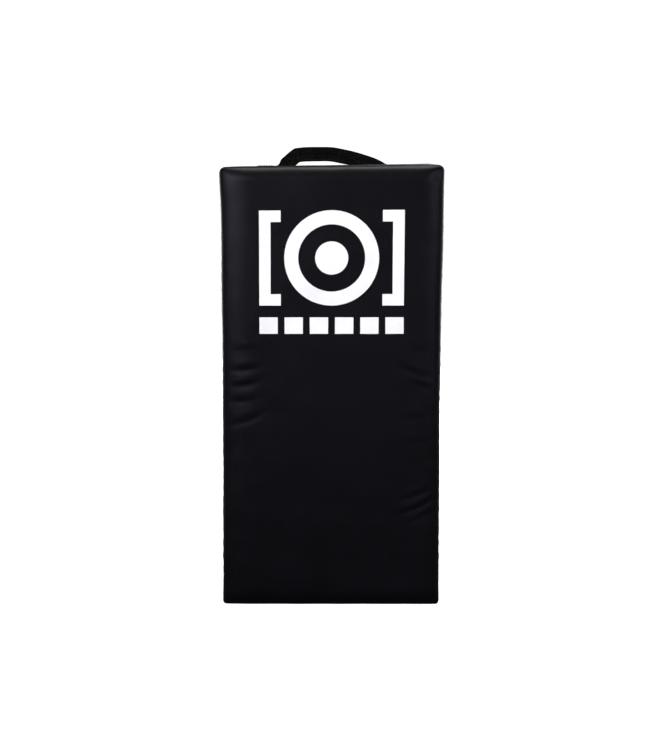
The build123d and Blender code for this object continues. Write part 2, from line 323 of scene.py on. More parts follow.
def leather(name, base, worn, blue, rough, grain=1.5):
    """Coated cloth with a pressed grain whose valleys carry painted shade, faint scuffs and edges rubbed a
    little lighter.
    """
    s = Shader(name)
    place = s.place()
    pebbles = s.span(s.cells(place, grain), 0.0, 0.22)
    pores = s.noise(place, 0.5, 2.0)
    clouds = s.noise(place, 85.0, 4.0)
    scuffs = s.noise(place, 9.0, 6.0, 0.7)
    ridge = s.add("ShaderNodeNewGeometry").outputs["Pointiness"]
    edge_wear = s.math("MULTIPLY", s.span(ridge, 0.52, 0.60), s.span(scuffs, 0.42, 0.62))
    scuffed = s.math("MULTIPLY", s.span(scuffs, 0.60, 0.74, 0.0, 0.35), s.span(clouds, 0.5, 0.62))
    wear = s.math("MAXIMUM", edge_wear, scuffed)
    tint = s.mix(s.span(clouds, 0.35, 0.65), grey(base * 0.82, blue), grey(base * 1.15, blue))
    # Painted shade: the grain's valleys, where the pebbles meet, are darkened toward half the base colour.
    tint = s.mix(s.span(pebbles, 0.0, 1.0, 0.35, 0.0), tint, grey(base * 0.5, blue))
    s.set(Base_Color=s.mix(wear, tint, grey(worn, blue)))
    low, high = rough
    gloss = s.math("ADD", s.span(clouds, 0.3, 0.7, low, high), s.span(scuffs, 0.4, 0.75, 0.0, 0.06))
    s.set(Roughness=gloss, Specular_IOR_Level=0.42)
    fine = s.bump(pores, 0.03, 0.5)
    s.set(Normal=s.bump(pebbles, 0.07, 0.55, fine))
    return s.material


def weave_material(name, base, blue, rib, chevron, rough):
    """Webbing woven in chevrons, with painted shade in the troughs between its ribs. Its ribs run across it,
    one to each rib millimetres.
    """
    s = Shader(name)
    along, across = s.weave_place()
    place = s.place()
    zigzag = s.math("PINGPONG", across, chevron)
    slant = s.math("MULTIPLY", zigzag, 2 * pi / (rib * 1.3))
    phase = s.math("ADD", s.math("MULTIPLY", along, 2 * pi / rib), slant)
    ribs = s.math("MULTIPLY_ADD", s.math("SINE", phase), 0.5, 0.5)
    ends = s.math("MULTIPLY_ADD", s.math("SINE", s.math("MULTIPLY", across, 2 * pi / 0.95)), 0.5, 0.5)
    yarn = s.math("MULTIPLY", s.math("POWER", ribs, 0.7), s.math("MULTIPLY_ADD", ends, 0.45, 0.55))
    fuzz = s.noise(place, 0.6, 4.0)
    clouds = s.noise(place, 24.0, 3.0)
    raised = s.math("MULTIPLY", yarn, s.span(fuzz, 0.3, 0.7, 0.6, 1.0))
    # Painted shade: the webbing is darkest in the troughs between its ribs and yarns and lightest on their
    # raised tops.
    tint = s.mix(raised, grey(base * 0.35, blue), grey(base * 1.5, blue))
    tint = s.mix(s.span(clouds, 0.4, 0.68, 0.0, 0.35), tint, grey(base * 2.1, blue))
    s.set(Base_Color=tint, Roughness=s.span(fuzz, 0.3, 0.7, rough, rough + 0.12))
    s.set(Specular_IOR_Level=0.0)
    s.set(Normal=s.bump(yarn, 0.22, 0.8, s.bump(fuzz, 0.05, 0.5)))
    return s.material


def foam_material(name, colour, pore):
    s = Shader(name)
    place = s.place()
    holes = s.span(s.cells(place, pore, "F1"), 0.0, 0.6)
    clouds = s.noise(place, 30.0, 3.0)
    # Painted shade: the foam's pores, the pits of its bump, are darkened to a little over half its colour.
    dark = (*[c * 0.55 for c in colour], 1.0)
    tint = s.mix(holes, dark, (*colour, 1.0))
    s.set(Base_Color=s.mix(s.span(clouds, 0.35, 0.7, 0.0, 0.5), tint, (*[c * 0.8 for c in colour], 1.0)))
    s.set(Roughness=s.span(clouds, 0.3, 0.7, 0.82, 0.95), Specular_IOR_Level=0.2)
    s.set(Normal=s.bump(holes, pore * 0.3, 0.7))
    return s.material


def cloth_material(name, base, thread_pitch):
    """The plain weave of a zip's tape, by its place, with painted shade where its threads dip."""
    s = Shader(name)
    place = s.place()
    parts = s.add("ShaderNodeSeparateXYZ", inputs={0: place})
    warp = s.math("SINE", s.math("MULTIPLY", parts.outputs[0], 2 * pi / (thread_pitch * MM)))
    weft = s.math("SINE", s.math("MULTIPLY", parts.outputs[2], 2 * pi / (thread_pitch * MM)))
    weave = s.math("MULTIPLY_ADD", s.math("MULTIPLY", warp, weft), 0.5, 0.5)
    lint = s.noise(place, 1.2, 4.0)
    # Painted shade: the tape is darker where its weave dips, and the lint noise varies its tone.
    s.set(Base_Color=s.mix(s.math("MULTIPLY", weave, lint), grey(base * 0.5), grey(base * 2.2)))
    s.set(Roughness=s.span(lint, 0.3, 0.7, 0.7, 0.88), Specular_IOR_Level=0.25, Sheen_Weight=0.1)
    s.set(Normal=s.bump(weave, 0.12, 0.7))
    return s.material


def ink_material():
    """Satin screen ink that takes the leather's grain, with thin specks that gather in the grain's valleys as
    wear and painted shade.
    """
    s = Shader("print_ink")
    place = s.place()
    pebbles = s.span(s.cells(place, 1.5), 0.0, 0.2)
    clouds = s.noise(place, 40.0, 3.0)
    specks = s.noise(place, 2.2, 5.0, 0.7)
    ink = s.mix(s.span(clouds, 0.35, 0.65), (0.90, 0.90, 0.89, 1.0), (0.97, 0.97, 0.965, 1.0))
    # Worn specks of thin ink, weighted into the grain's valleys: wear, and painted shade where they follow
    # the valleys.
    worn = s.math("MULTIPLY", s.span(specks, 0.68, 0.76, 0.0, 0.3), s.span(pebbles, 0.0, 0.5, 1.0, 0.2))
    s.set(Base_Color=s.mix(worn, ink, (0.35, 0.35, 0.36, 1.0)))
    s.set(Roughness=s.span(clouds, 0.3, 0.7, 0.42, 0.52), Specular_IOR_Level=0.4)
    s.set(Normal=s.bump(pebbles, 0.04, 0.4))
    return s.material


def nylon_material():
    s = Shader("zip_nylon")
    place = s.place()
    haze = s.noise(place, 3.0, 3.0)
    s.set(Base_Color=s.mix(s.span(haze, 0.3, 0.7), grey(0.008), grey(0.016)))
    s.set(Roughness=s.span(haze, 0.3, 0.7, 0.3, 0.45), Specular_IOR_Level=0.5)
    s.set(Normal=s.bump(s.noise(place, 0.25, 2.0), 0.02, 0.4))
    return s.material


def metal_material():
    """Black enamel on cast zinc, rubbed through to the metal in small patches."""
    s = Shader("zip_metal")
    place = s.place()
    grit = s.noise(place, 0.35, 4.0, 0.6)
    smear = s.noise(place, 4.0, 3.0)
    rubbed = s.noise(place, 1.6, 5.0, 0.75)
    bare = s.math("MULTIPLY", s.span(rubbed, 0.60, 0.70, 0.0, 0.5), s.span(grit, 0.42, 0.62, 0.2, 1.0))
    enamel = s.mix(s.span(smear, 0.35, 0.65), grey(0.012), grey(0.028))
    s.set(Base_Color=s.mix(bare, enamel, (0.42, 0.41, 0.39, 1.0)), Metallic=s.span(bare, 0.0, 1.0, 0.25, 1.0))
    s.set(Roughness=s.math("ADD", s.span(smear, 0.3, 0.7, 0.24, 0.38), s.math("MULTIPLY", grit, 0.08)))
    s.set(Normal=s.bump(grit, 0.03, 0.4))
    return s.material


def thread_material(name, dark, pale):
    s = Shader(name)
    place = s.place()
    twist = s.noise(place, 0.45, 2.0)
    s.set(Base_Color=s.mix(s.span(twist, 0.3, 0.7), grey(dark), grey(pale)))
    s.set(Roughness=s.span(twist, 0.3, 0.7, 0.55, 0.7), Specular_IOR_Level=0.35, Sheen_Weight=dark * 10)
    s.set(Normal=s.bump(twist, 0.08, 0.6))
    return s.material


COVER = leather("cover_leather", 0.0018, 0.009, 1.5, (0.34, 0.38))
PATCH = leather("patch_leather", 0.0070, 0.022, 1.2, (0.50, 0.58), 1.2)
SLEEVE = leather("sleeve_leather", 0.0062, 0.020, 1.2, (0.48, 0.56), 1.8)
WEBBING = weave_material("webbing", 0.0042, 1.0, 1.7, 5.6, 0.66)
ZIP_CLOTH = cloth_material("zip_cloth", 0.012, 0.7)
DENSE_FOAM = foam_material("dense_foam", (0.045, 0.045, 0.050), 1.1)
SOFT_FOAM = foam_material("soft_foam", (0.52, 0.47, 0.34), 1.8)
INK = ink_material()
NYLON = nylon_material()
METAL = metal_material()
THREAD = thread_material("thread", 0.014, 0.042)
HANDLE_THREAD = thread_material("handle_thread", 0.0035, 0.011)


def dress(piece, material, body=None, replaces=()):
    """Gives a piece its material and slot, the body it rides on, and the CAD nodes it stands for."""
    piece.data.materials.clear()
    piece.data.materials.append(material)
    if body is not None:
        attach(piece, body)
    if replaces:
        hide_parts(*replaces)
    return piece


# ---------------------------------------------------------------- the cover's outline

CORNER_TOP = 10.0
CORNER_BOTTOM = 6.0
TOP_SLOPE = 2.0  # how far the top's right end stands above the middle, and its left end below
PULL_IN = 1.6  # how far the long sides draw in at half height
EAR = 1.8  # how far the sides stand out near the top
TAPER = 1.4  # how far each side draws in towards the foot
TUCK = 1.6  # how deep an edge turns into its seam
TUCK_STEP = 0.9
SKIN = 1.2


def round_corners(x, z):
    """A place on a plain rectangle, moved so that the rectangle's corners are round."""
    radius = np.where(z > MID_Z, CORNER_TOP, CORNER_BOTTOM)
    inner_x = HALF_W - radius
    inner_z = MID_Z - radius
    a = np.clip((np.abs(x) - inner_x) / radius, 0, 1)
    b = np.clip((np.abs(z - MID_Z) - inner_z) / radius, 0, 1)
    round_x = np.sign(x) * (inner_x + radius * a * np.sqrt(1 - b * b / 2))
    round_z = MID_Z + np.sign(z - MID_Z) * (inner_z + radius * b * np.sqrt(1 - a * a / 2))
    inside = (a > 0) & (b > 0)
    return np.where(inside, round_x, x), np.where(inside, round_z, z)


def outward(x, z):
    """The way the outline looks, at or near a place on it."""
    radius = np.where(z > MID_Z, CORNER_TOP, CORNER_BOTTOM)
    from_x = x - np.clip(x, radius - HALF_W, HALF_W - radius)
    from_z = z - np.clip(z, radius, HEIGHT - radius)
    return unit(np.stack([from_x, from_z], axis=-1))


def settle(x, z):
    """The sewn cover's own unevenness: sides drawn in, a full top left corner, a wavy hem."""
    up = z / HEIGHT
    across = x / HALF_W
    pull = PULL_IN * (1 - (2 * up - 1) ** 2) * np.abs(across) ** 3
    ear = EAR * bump_at(z, HEIGHT - 14, 34) * smoothstep(-x, 120, HALF_W)
    slope = TOP_SLOPE * across * up**4
    right_ear = EAR * smoothstep(z, 400, 600) * smoothstep(x, 90, HALF_W)
    taper = TAPER * across * (1 - up)
    hem = 0.25 * (1 + ripple(x, 0 * z, 60, 4)) * (1 - up) ** 12
    sway = 0.5 * ripple(z, 0 * x, 130, 9) * np.abs(across) ** 3 * np.sin(pi * np.clip(up, 0, 1))
    return x - np.sign(x) * pull - taper - ear + right_ear + sway, z + slope + hem


def place_on_outline(x, z, inset=0.0):
    """A place on the plain rectangle, as it is on the sewn cover, and this far in from there."""
    round_x, round_z = round_corners(x, z)
    settled_x, settled_z = settle(round_x, round_z)
    way = outward(round_x, round_z)
    return settled_x - way[..., 0] * inset, settled_z - way[..., 1] * inset


def graded(length, start_band, end_band, step, fine=11):
    """Places from 0 to length, close together in the rounded band at each end."""
    turn = np.linspace(0, pi / 2, fine)
    start = start_band * (1 - np.cos(turn))
    end = length - end_band * (1 - np.cos(turn))[::-1]
    middle_count = int(ceil((end[0] - start[-1]) / step))
    middle = np.linspace(start[-1], end[0], middle_count + 1)[1:-1]
    return np.concatenate([start, middle, end])


def rise(distance, band):
    """From 0 at a seam to 1 where its rounded band ends, along a quarter of an ellipse."""
    t = np.clip(distance / band, 0, 1)
    return np.sqrt(1 - (1 - t) ** 2)


def ring_of(rows, cols):
    """True for the places round the border of a grid."""
    border = np.ones((rows, cols), bool)
    border[1:-1, 1:-1] = False
    return border


def cover_piece(name, outer, facing, node):
    """A skin of leather inside a grid of points. Facing is -1 where the grid's normals look inward."""
    piece = slab(name, outer, outer - grid_normals(outer) * facing * SKIN)
    dress(piece, COVER, "shield", [node])


# ---------------------------------------------------------------- strike face

BAND_LEFT = 46.0
BAND_RIGHT = 36.0
BAND_TOP = 24.0
BAND_BOTTOM = 24.0
FACE_CROWN = 1.6
DIMPLE = 3.2  # how deep the dent in the top right corner is

GATHER_BOW = 0.004  # how much a gather's line bends up towards its ends

# Where the seam's gathers show: x and z of the middle, half length, half height, depth, slant.
GATHERS = (
    (-138, 411, 18, 4.6, 0.45, 0.06),
    (-137, 380, 21, 4.4, 0.75, 0.12),
    (-134, 356, 20, 4.6, 0.80, 0.22),
    (-139, 330, 24, 4.8, 0.70, 0.12),
    (-134, 299, 25, 5.0, 0.85, 0.36),
    (-152, 452, 14, 12.0, 0.30, -0.05),
    (-146, 248, 18, 11.0, 0.30, 0.15),
    (-146, 205, 18, 12.0, 0.30, -0.10),
    (134, 410, 17, 5.0, 0.45, -0.20),
    (132, 375, 21, 4.6, 0.90, -0.42),
    (146, 353, 14, 4.2, 0.75, -0.34),
    (135, 303, 18, 5.0, 0.45, 0.06),
    (141, 264, 18, 5.5, 0.45, 0.04),
    (138, 180, 20, 4.0, 0.55, 0.40),
    (144, 162, 27, 4.0, 1.00, 0.50),
    (151, 147, 18, 3.8, 0.60, 0.60),
    (60, 216, 60, 22.0, 0.35, -0.12),
    (-40, 150, 70, 24.0, 0.30, 0.08),
    (96, 470, 40, 26.0, 0.25, 0.10),
)


def gathers(x, z):
    """How far the seams' gathers sink the strike face."""
    depth = np.zeros(np.broadcast(x, z).shape)
    for mid_x, mid_z, half_l, half_h, sink, slant in GATHERS:
        line_z = mid_z + slant * (x - mid_x) + GATHER_BOW * (x - mid_x) ** 2
        reach = bump_at(x, mid_x, half_l) * smoothstep(HALF_W - np.abs(x), 3, 16)
        valley = bump_at(z, line_z, half_h) - 0.75 * bump_at(z, line_z + 2.5 * half_h, 1.5 * half_h)
        depth = depth + sink * valley * reach
    return depth


def strike_y(x, z):
    """The strike face's depth at a place on the plain rectangle."""
    left = rise(HALF_W + x, BAND_LEFT)
    right = rise(HALF_W - x, BAND_RIGHT)
    rounded = left * right * rise(HEIGHT - z, BAND_TOP) * rise(z, BAND_BOTTOM)
    across = 1 - (x / HALF_W) ** 2
    up = 1 - ((z - MID_Z) / MID_Z) ** 2
    full = (FRONT_SEAM_Y - FACE_Y - TUCK_STEP) + FACE_CROWN * across * up
    near_edge = np.clip(1 - np.minimum(HALF_W - np.abs(x), np.minimum(z, HEIGHT - z)) / 70, 0, 1)
    swell = 0.85 * ripple(x, z, 120, 21) * across + 0.35 * near_edge * ripple(x, z, 34, 22)
    swell = swell + 0.22 * ripple(x, z, 44, 23)
    dimple = DIMPLE * bump_at(x, HALF_W - 11, 6) * bump_at(z, HEIGHT - 17, 8)
    sunk = FRONT_SEAM_Y - TUCK_STEP - full * rounded - swell * rounded + gathers(x, z) * rounded
    return sunk + dimple * rounded


def framed(values):
    """The same places with the first and last one twice, for the edge that turns in."""
    return np.concatenate([values[:1], values, values[-1:]])


def front_panel():
    """The strike face. Its border turns inward at the seam."""
    xs = framed(graded(2 * HALF_W, BAND_LEFT, BAND_RIGHT, 3.6) - HALF_W)
    zs = framed(graded(HEIGHT, BAND_BOTTOM, BAND_TOP, 2.6))
    x, z = np.meshgrid(xs, zs, indexing="ij")
    border = ring_of(*x.shape)
    px, pz = place_on_outline(x, z, np.where(border, TUCK, 0.0))
    py = np.where(border, FRONT_SEAM_Y + TUCK_STEP, strike_y(x, z))
    outer = np.stack([px, py, pz], axis=-1)
    cover_piece("cover_front", outer, -np.sign(grid_normals(outer)[..., 1].mean()), "front_panel")


front_panel()

# ---------------------------------------------------------------- gussets

TABS = [box_mm(f"top_handle_tab_{side}") for side in ("left", "right")]

# The small puckers where a gusset is gathered onto its seams
PUCKER_H = 0.85
PUCKER_PITCH = 17
PUCKER_REACH = 10

SEAM_GAP = 0.15  # how far a gusset's border stays from the seam's plane
SEAM_ROLL = 1.0  # how far the row beside the border stays from the same plane


def gusset_bulge(side, s, y):
    """How far a gusset stands out from the outline, at a place along it and a depth."""
    t = (y - FRONT_SEAM_Y) / (BACK_SEAM_Y - FRONT_SEAM_Y)
    arch = np.sin(pi * np.clip(t, 0, 1)) ** 0.55
    if side == "bottom":
        return -0.25 * (1 - arch)
    if side == "top":
        under_tab = sum(
            smoothstep(s, low[0] - 16, low[0] - 1) * (1 - smoothstep(s, high[0] + 1, high[0] + 16))
            for low, high in TABS
        )
        under_handle = smoothstep(s, -100, -84) * (1 - smoothstep(s, 84, 100))
        sewn_down = np.clip(under_tab + under_handle, 0, 1) * (1 - smoothstep(np.abs(y), 23, 44))
        height = 2.6 + 1.2 * s / HALF_W + 0.4 * ripple(s, y, 60, 31)
        ends = smoothstep(HALF_W - np.abs(s), 0, 26)
        return height * arch * ends * (1 - 0.94 * sewn_down)
    seed = 33 if side == "left" else 34
    gather = 0.5 * ripple(s, y * 0.35, 46, seed) * (1 - 0.6 * arch)
    near_seam = bump_at(y, FRONT_SEAM_Y + PUCKER_REACH, PUCKER_REACH)
    near_seam = near_seam + bump_at(y, BACK_SEAM_Y - PUCKER_REACH, PUCKER_REACH)
    pucker = PUCKER_H * ripple(s, 0.2 * y, PUCKER_PITCH, seed + 3) * near_seam
    pucker = pucker * smoothstep(np.minimum(s, HEIGHT - s), 10, 60)
    return (2.0 + 0.7 * ripple(s, y, 130, 35)) * arch + gather * smoothstep(arch, 0, 0.5) + pucker


def gusset(side):
    """One side of the cover, from the seam round the strike face to the seam round the back."""
    upright = side in ("left", "right")
    length = HEIGHT if upright else 2 * HALF_W
    s = framed(graded(length, 16, 16, 3.2, 8))
    depth = framed(graded(BACK_SEAM_Y - FRONT_SEAM_Y, 9, 9, 4.0, 7) + FRONT_SEAM_Y)
    s_grid, y_grid = np.meshgrid(s, depth, indexing="ij")
    if upright:
        x = np.full(s_grid.shape, HALF_W if side == "right" else -HALF_W)
        z = s_grid
    else:
        x = s_grid - HALF_W
        z = np.full(s_grid.shape, HEIGHT if side == "top" else 0.0)
    along = z if upright else x
    round_x, round_z = round_corners(x, z)
    border = ring_of(*s_grid.shape)
    y = y_grid.copy()
    y[:, 0] += SEAM_GAP
    y[:, -1] -= SEAM_GAP
    y[:, 1] += SEAM_ROLL
    y[:, -2] -= SEAM_ROLL
    corner = smoothstep(np.minimum(s_grid, length - s_grid), 0, 5)
    stand = gusset_bulge(side, along, y) - 0.9 * (1 - corner)
    inset = np.where(border, TUCK + 0.4, -stand)
    px, pz = place_on_outline(x, z, inset)
    outer = np.stack([px, y, pz], axis=-1)
    way = outward(round_x, round_z)
    look = grid_normals(outer)
    facing = np.sign((look[..., 0] * way[..., 0] + look[..., 2] * way[..., 1]).mean())
    cover_piece(f"cover_side_{side}", outer, facing, f"gusset_{side}")


for side in ("left", "right", "top", "bottom"):
    gusset(side)

# ---------------------------------------------------------------- back

BACK_BAND = 20.0
SLOT_EDGE = 6.5
SLOT_END = 160.0
BAND_BOX = box_mm("back_band_right")
BAND_MID = (BAND_BOX[0][0] + BAND_BOX[1][0]) / 2
BAND_HALF = (BAND_BOX[1][0] - BAND_BOX[0][0]) / 2


def back_y(x, z):
    """The back's depth: flat where webbing is sewn on, fuller between, turned in at the zip."""
    rounded = rise(HALF_W - np.abs(x), BACK_BAND) * rise(HEIGHT - z, BACK_BAND) * rise(z, BACK_BAND)
    off_band = smoothstep(np.abs(np.abs(x) - BAND_MID), BAND_HALF - 2, BAND_HALF + 26)
    off_zip = smoothstep(np.abs(z - ZIP_Z), 12, 50)
    fullness = 1.9 * off_band * off_zip * smoothstep(HEIGHT - z, 0, 90)
    sewn = 0.35 * bump_at(np.abs(np.abs(x) - BAND_MID), BAND_HALF + 2.5, 3.5) * off_zip
    wrinkle = 0.4 * ripple(x, z, 52, 41) * off_band * off_zip
    fold = 1.3 * bump_at(np.abs(z - ZIP_Z), SLOT_EDGE - 0.6, 1.1) * (np.abs(x) < SLOT_END)
    base = BACK_SEAM_Y + TUCK_STEP + (BACK_Y - BACK_SEAM_Y - TUCK_STEP - 0.05) * rounded
    return base + (fullness + wrinkle) * rounded - sewn - fold


def back_panel(name, upward):
    """The back above or below the zip. Its border turns inward at the seam and at the zip's slot."""
    x_line = framed(graded(2 * HALF_W, BACK_BAND, BACK_BAND, 3.6, 9) - HALF_W)
    if upward:
        share = graded(HEIGHT - ZIP_Z, 6, BACK_BAND, 3.4, 9) / (HEIGHT - ZIP_Z)
    else:
        share = graded(ZIP_Z, 6, BACK_BAND, 2.5, 9) / ZIP_Z
    grid_x, grid_share = np.meshgrid(x_line, framed(share), indexing="ij")
    half_slot = 0.1 + (SLOT_EDGE - 0.1) * (1 - smoothstep(np.abs(grid_x), SLOT_END - 1, SLOT_END + 2))
    if upward:
        z = ZIP_Z + half_slot + (HEIGHT - ZIP_Z - half_slot) * grid_share
    else:
        z = (ZIP_Z - half_slot) * (1 - grid_share)
    py = back_y(grid_x, z)
    border = ring_of(*grid_x.shape)
    at_zip = np.zeros(border.shape, bool)
    at_zip[:, 0] = True
    px, pz = place_on_outline(grid_x, z, np.where(border & ~at_zip, TUCK, 0.0))
    py = np.where(border, np.where(at_zip, py - 0.8, BACK_SEAM_Y - TUCK_STEP), py)
    py[[0, -1]] = BACK_SEAM_Y - TUCK_STEP
    outer = np.stack([px, py, pz], axis=-1)
    cover_piece(f"cover_{name}", outer, np.sign(grid_normals(outer)[..., 1].mean()), name)


back_panel("back_panel_upper", True)
back_panel("back_panel_lower", False)

# ---------------------------------------------------------------- foam

FOAM_INSET = 3.2
COVER_ROOM = 3.0  # from the cover's outside to the foam behind it
FOAM_GAP = 0.3  # from a block's nominal face to its own, so that two blocks never touch


def foam_block(node, front_at, back_at, material, slot):
    """A block of foam between two depths, each a function of the place on the outline."""
    x_line = graded(2 * HALF_W, 30, 30, 9, 8) - HALF_W
    z_line = graded(HEIGHT, 24, 24, 9, 8)
    grid_x, grid_z = np.meshgrid(x_line, z_line, indexing="ij")
    px, pz = place_on_outline(grid_x, grid_z, ring_of(*grid_x.shape) * FOAM_INSET)
    px = np.clip(px, FOAM_INSET - HALF_W + 1, HALF_W - FOAM_INSET - 1)
    pz = np.clip(pz, FOAM_INSET, HEIGHT - FOAM_INSET)
    front = np.stack([px, front_at(grid_x, grid_z), pz], axis=-1)
    back = np.stack([px, back_at(grid_x, grid_z), pz], axis=-1)
    piece = slab(f"block_{node}", front, back, sharp=40)
    dress(piece, material, "shield", [node])


core_low, core_high = box_mm("core_foam")


def cut_face(depth, seed):
    """A sawn face of foam at this depth, not quite flat."""
    return lambda x, z: depth + 0.25 * ripple(x, z, 90, seed)


def foam_front_y(x, z):
    return strike_y(x, z) + COVER_ROOM


def foam_back_y(x, z):
    """The backing foam's rear face, with room left for the zip and for the back's rounded edges."""
    zip_room = 7.0 * smoothstep(24 - np.abs(z - ZIP_Z), 0, 4)
    return back_y(x, z) - COVER_ROOM - zip_room - 4 * (1 - rise(HALF_W - np.abs(x), 24))


DENSE = (DENSE_FOAM, "dense_foam")
SOFT = (SOFT_FOAM, "soft_foam")
CORE_FRONT, CORE_BACK = core_low[1], core_high[1]
foam_block("strike_foam", foam_front_y, cut_face(CORE_FRONT - FOAM_GAP, 51), *DENSE)
foam_block("core_foam", cut_face(CORE_FRONT + FOAM_GAP, 52), cut_face(CORE_BACK - FOAM_GAP, 53), *SOFT)
foam_block("backing_foam", cut_face(CORE_BACK + FOAM_GAP, 54), foam_back_y, *DENSE)

# ---------------------------------------------------------------- print

RING_OUT, RING_IN, DISC_R = 74.5, 52.5, 26.0
BRACKET_X, BRACKET_W, BRACKET_H, ARM_L = 114.0, 18.0, 149.0, 34.0
DASH_W, DASH_H, DASH_COUNT = 29.0, 26.0, 6
DASH_Z = box_mm("strike_print")[0][2] + DASH_H / 2
DASH_SPAN = 2 * BRACKET_X - DASH_W  # from the middle of the first dash to the middle of the last
TARGET_RISE = 106.0  # from the dashes' middle to the target's
PRINT_Z = DASH_Z + TARGET_RISE
INK_T = 0.3


def inked(x, z):
    """The outer and inner grid of a printed shape on the strike face."""
    px, pz = place_on_outline(x, z)
    on_face = np.stack([px, strike_y(x, z), pz], axis=-1)
    look = grid_normals(on_face)
    look = look * -np.sign(look[..., 1:2])
    return on_face + look * INK_T, on_face - look * INK_T / 2


def strip(first, second, step=3.0):
    """A grid between two lines with the same number of corners."""
    first, second = np.array(first, float), np.array(second, float)
    lines = []
    for start, end in zip(range(len(first) - 1), range(1, len(first))):
        count = int(ceil(np.abs(first[end] - first[start]).max() / step))
        share = np.linspace(0, 1, count + 1)[1 if lines else 0 :, None]
        pair = [line[start] + (line[end] - line[start]) * share for line in (first, second)]
        lines.append(np.stack(pair, axis=1))
    edges = np.concatenate(lines)
    across = np.linspace(0, 1, 7)[None, :, None]
    grid = edges[:, :1] + (edges[:, 1:] - edges[:, :1]) * across
    return grid[..., 0], grid[..., 1]


def bracket(side):
    out_x, in_x, arm_x = BRACKET_X, BRACKET_X - BRACKET_W, BRACKET_X - ARM_L
    high = BRACKET_H / 2
    low = high - BRACKET_W
    first = ((arm_x, -high), (out_x, -high), (out_x, high), (arm_x, high))
    second = ((arm_x, -low), (in_x, -low), (in_x, low), (arm_x, low))
    place = [[(side * x, PRINT_Z + z) for x, z in line] for line in (first, second)]
    return strip(*place)


def dash(mid_x):
    line = ((mid_x - DASH_W / 2, DASH_Z - DASH_H / 2), (mid_x + DASH_W / 2, DASH_Z - DASH_H / 2))
    return strip(line, [(x, z + DASH_H) for x, z in line])


square = np.linspace(-1, 1, 19)
sq_a, sq_b = np.meshgrid(square, square, indexing="ij")
disc_x = DISC_R * sq_a * np.sqrt(1 - sq_b**2 / 2)
disc_z = PRINT_Z + DISC_R * sq_b * np.sqrt(1 - sq_a**2 / 2)
dashes = [-BRACKET_X + DASH_W / 2 + k * DASH_SPAN / (DASH_COUNT - 1) for k in range(DASH_COUNT)]
flat_shapes = [(disc_x, disc_z), bracket(-1), bracket(1)] + [dash(mid_x) for mid_x in dashes]
target_marks = slabs("target_marks", [inked(*shape) for shape in flat_shapes], sharp=50)
dress(target_marks, INK, "shield", ["strike_print"])

turn, radius = np.meshgrid(np.linspace(0, 2 * pi, 145)[:-1], np.linspace(RING_IN, RING_OUT, 9), indexing="ij")
ring_out, ring_in = inked(radius * np.cos(turn), PRINT_Z + radius * np.sin(turn))
ring_section = np.concatenate([ring_out, ring_in[:, ::-1]], axis=1)
target_ring = loft("target_ring", ring_section, closed=True, sharp=50)
dress(target_ring, INK, "shield", ["strike_print"])

# ---------------------------------------------------------------- webbing


class Web:
    """A strip of webbing: a grid of points through its middle, with its own length and width."""

    def __init__(self, points, along, across, thickness=WEB_T):
        self.points, self.along, self.across = points, along, across
        self.normals = grid_normals(points)
        edge = self.rounding(np.abs(across), across.max(), thickness)
        ends = self.rounding(np.abs(along - along.mean()), (along.max() - along.min()) / 2, thickness)
        self.half = thickness / 2 * np.minimum(edge[None, :], ends[:, None])

    @staticmethod
    def rounding(distance, limit, thickness):
        reach = thickness * 0.55
        t = np.clip((distance - limit + reach) / reach, 0, 1)
        return np.sqrt(np.clip(1 - t * t, 0.02, 1))

    def face(self, way, rows=slice(None)):
        """Turns the normals over if they look away from this, on all or one of the rows."""
        if (self.normals[rows] @ np.asarray(way, float)).mean() < 0:
            self.normals = -self.normals

    def piece(self, name):
        uv_along, uv_across = np.meshgrid(self.along, self.across, indexing="ij")
        uvs = np.stack([uv_along, uv_across + 100], axis=-1)
        lift = self.normals * self.half[..., None]
        return slab(name, self.points + lift, self.points - lift, uvs)

    def run(self, corners, lift, side=1, step=2.0):
        """A line of points and normals on one face, through corners given as (along, across)."""
        corners = np.array(corners, float)
        steps = [max(1, int(ceil(hypot(*(b - a)) / step))) for a, b in zip(corners, corners[1:])]
        parts = zip(corners, corners[1:], steps)
        line = np.concatenate([a + (b - a) * np.linspace(0, 1, n + 1)[:, None] for a, b, n in parts])
        points = sample(self.points, self.along, self.across, line)
        normals = side * unit(sample(self.normals, self.along, self.across, line))
        return points + normals * lift, normals


def sample(grid, rows, cols, places):
    """A grid's values between its rows and columns, at each (row place, column place)."""
    i = np.clip(np.searchsorted(rows, places[:, 0]) - 1, 0, len(rows) - 2)
    j = np.clip(np.searchsorted(cols, places[:, 1]) - 1, 0, len(cols) - 2)
    a = np.clip((places[:, 0] - rows[i]) / (rows[i + 1] - rows[i]), 0, 1)[:, None]
    b = np.clip((places[:, 1] - cols[j]) / (cols[j + 1] - cols[j]), 0, 1)[:, None]
    near = grid[i, j] * (1 - b) + grid[i, j + 1] * b
    far = grid[i + 1, j] * (1 - b) + grid[i + 1, j + 1] * b
    return near * (1 - a) + far * a


EDGE_PLACES = np.array([0, 0.12, 0.4, 0.8, 1.4])  # from a strip's edge inward, where it is rounded
BACKWARD = (0, 1, 0)


def across_places(half, step=2.2):
    """Places across a strip, close together at its edges."""
    middle = np.linspace(-half + 2.2, half - 2.2, max(3, int(2 * half / step)))
    return np.concatenate([-half + EDGE_PLACES, middle, half - EDGE_PLACES[::-1]])


def box_and_cross(web, start, end, half, side=1):
    """The runs of a stitched box with a cross in it, on one face of a strip."""
    lift = WEB_T / 2
    box = [(start, -half), (end, -half), (end, half), (start, half), (start, -half)]
    cross = [[(start, -half), (end, half)], [(start, half), (end, -half)]]
    return [web.run(line, lift, side) for line in [box] + cross]


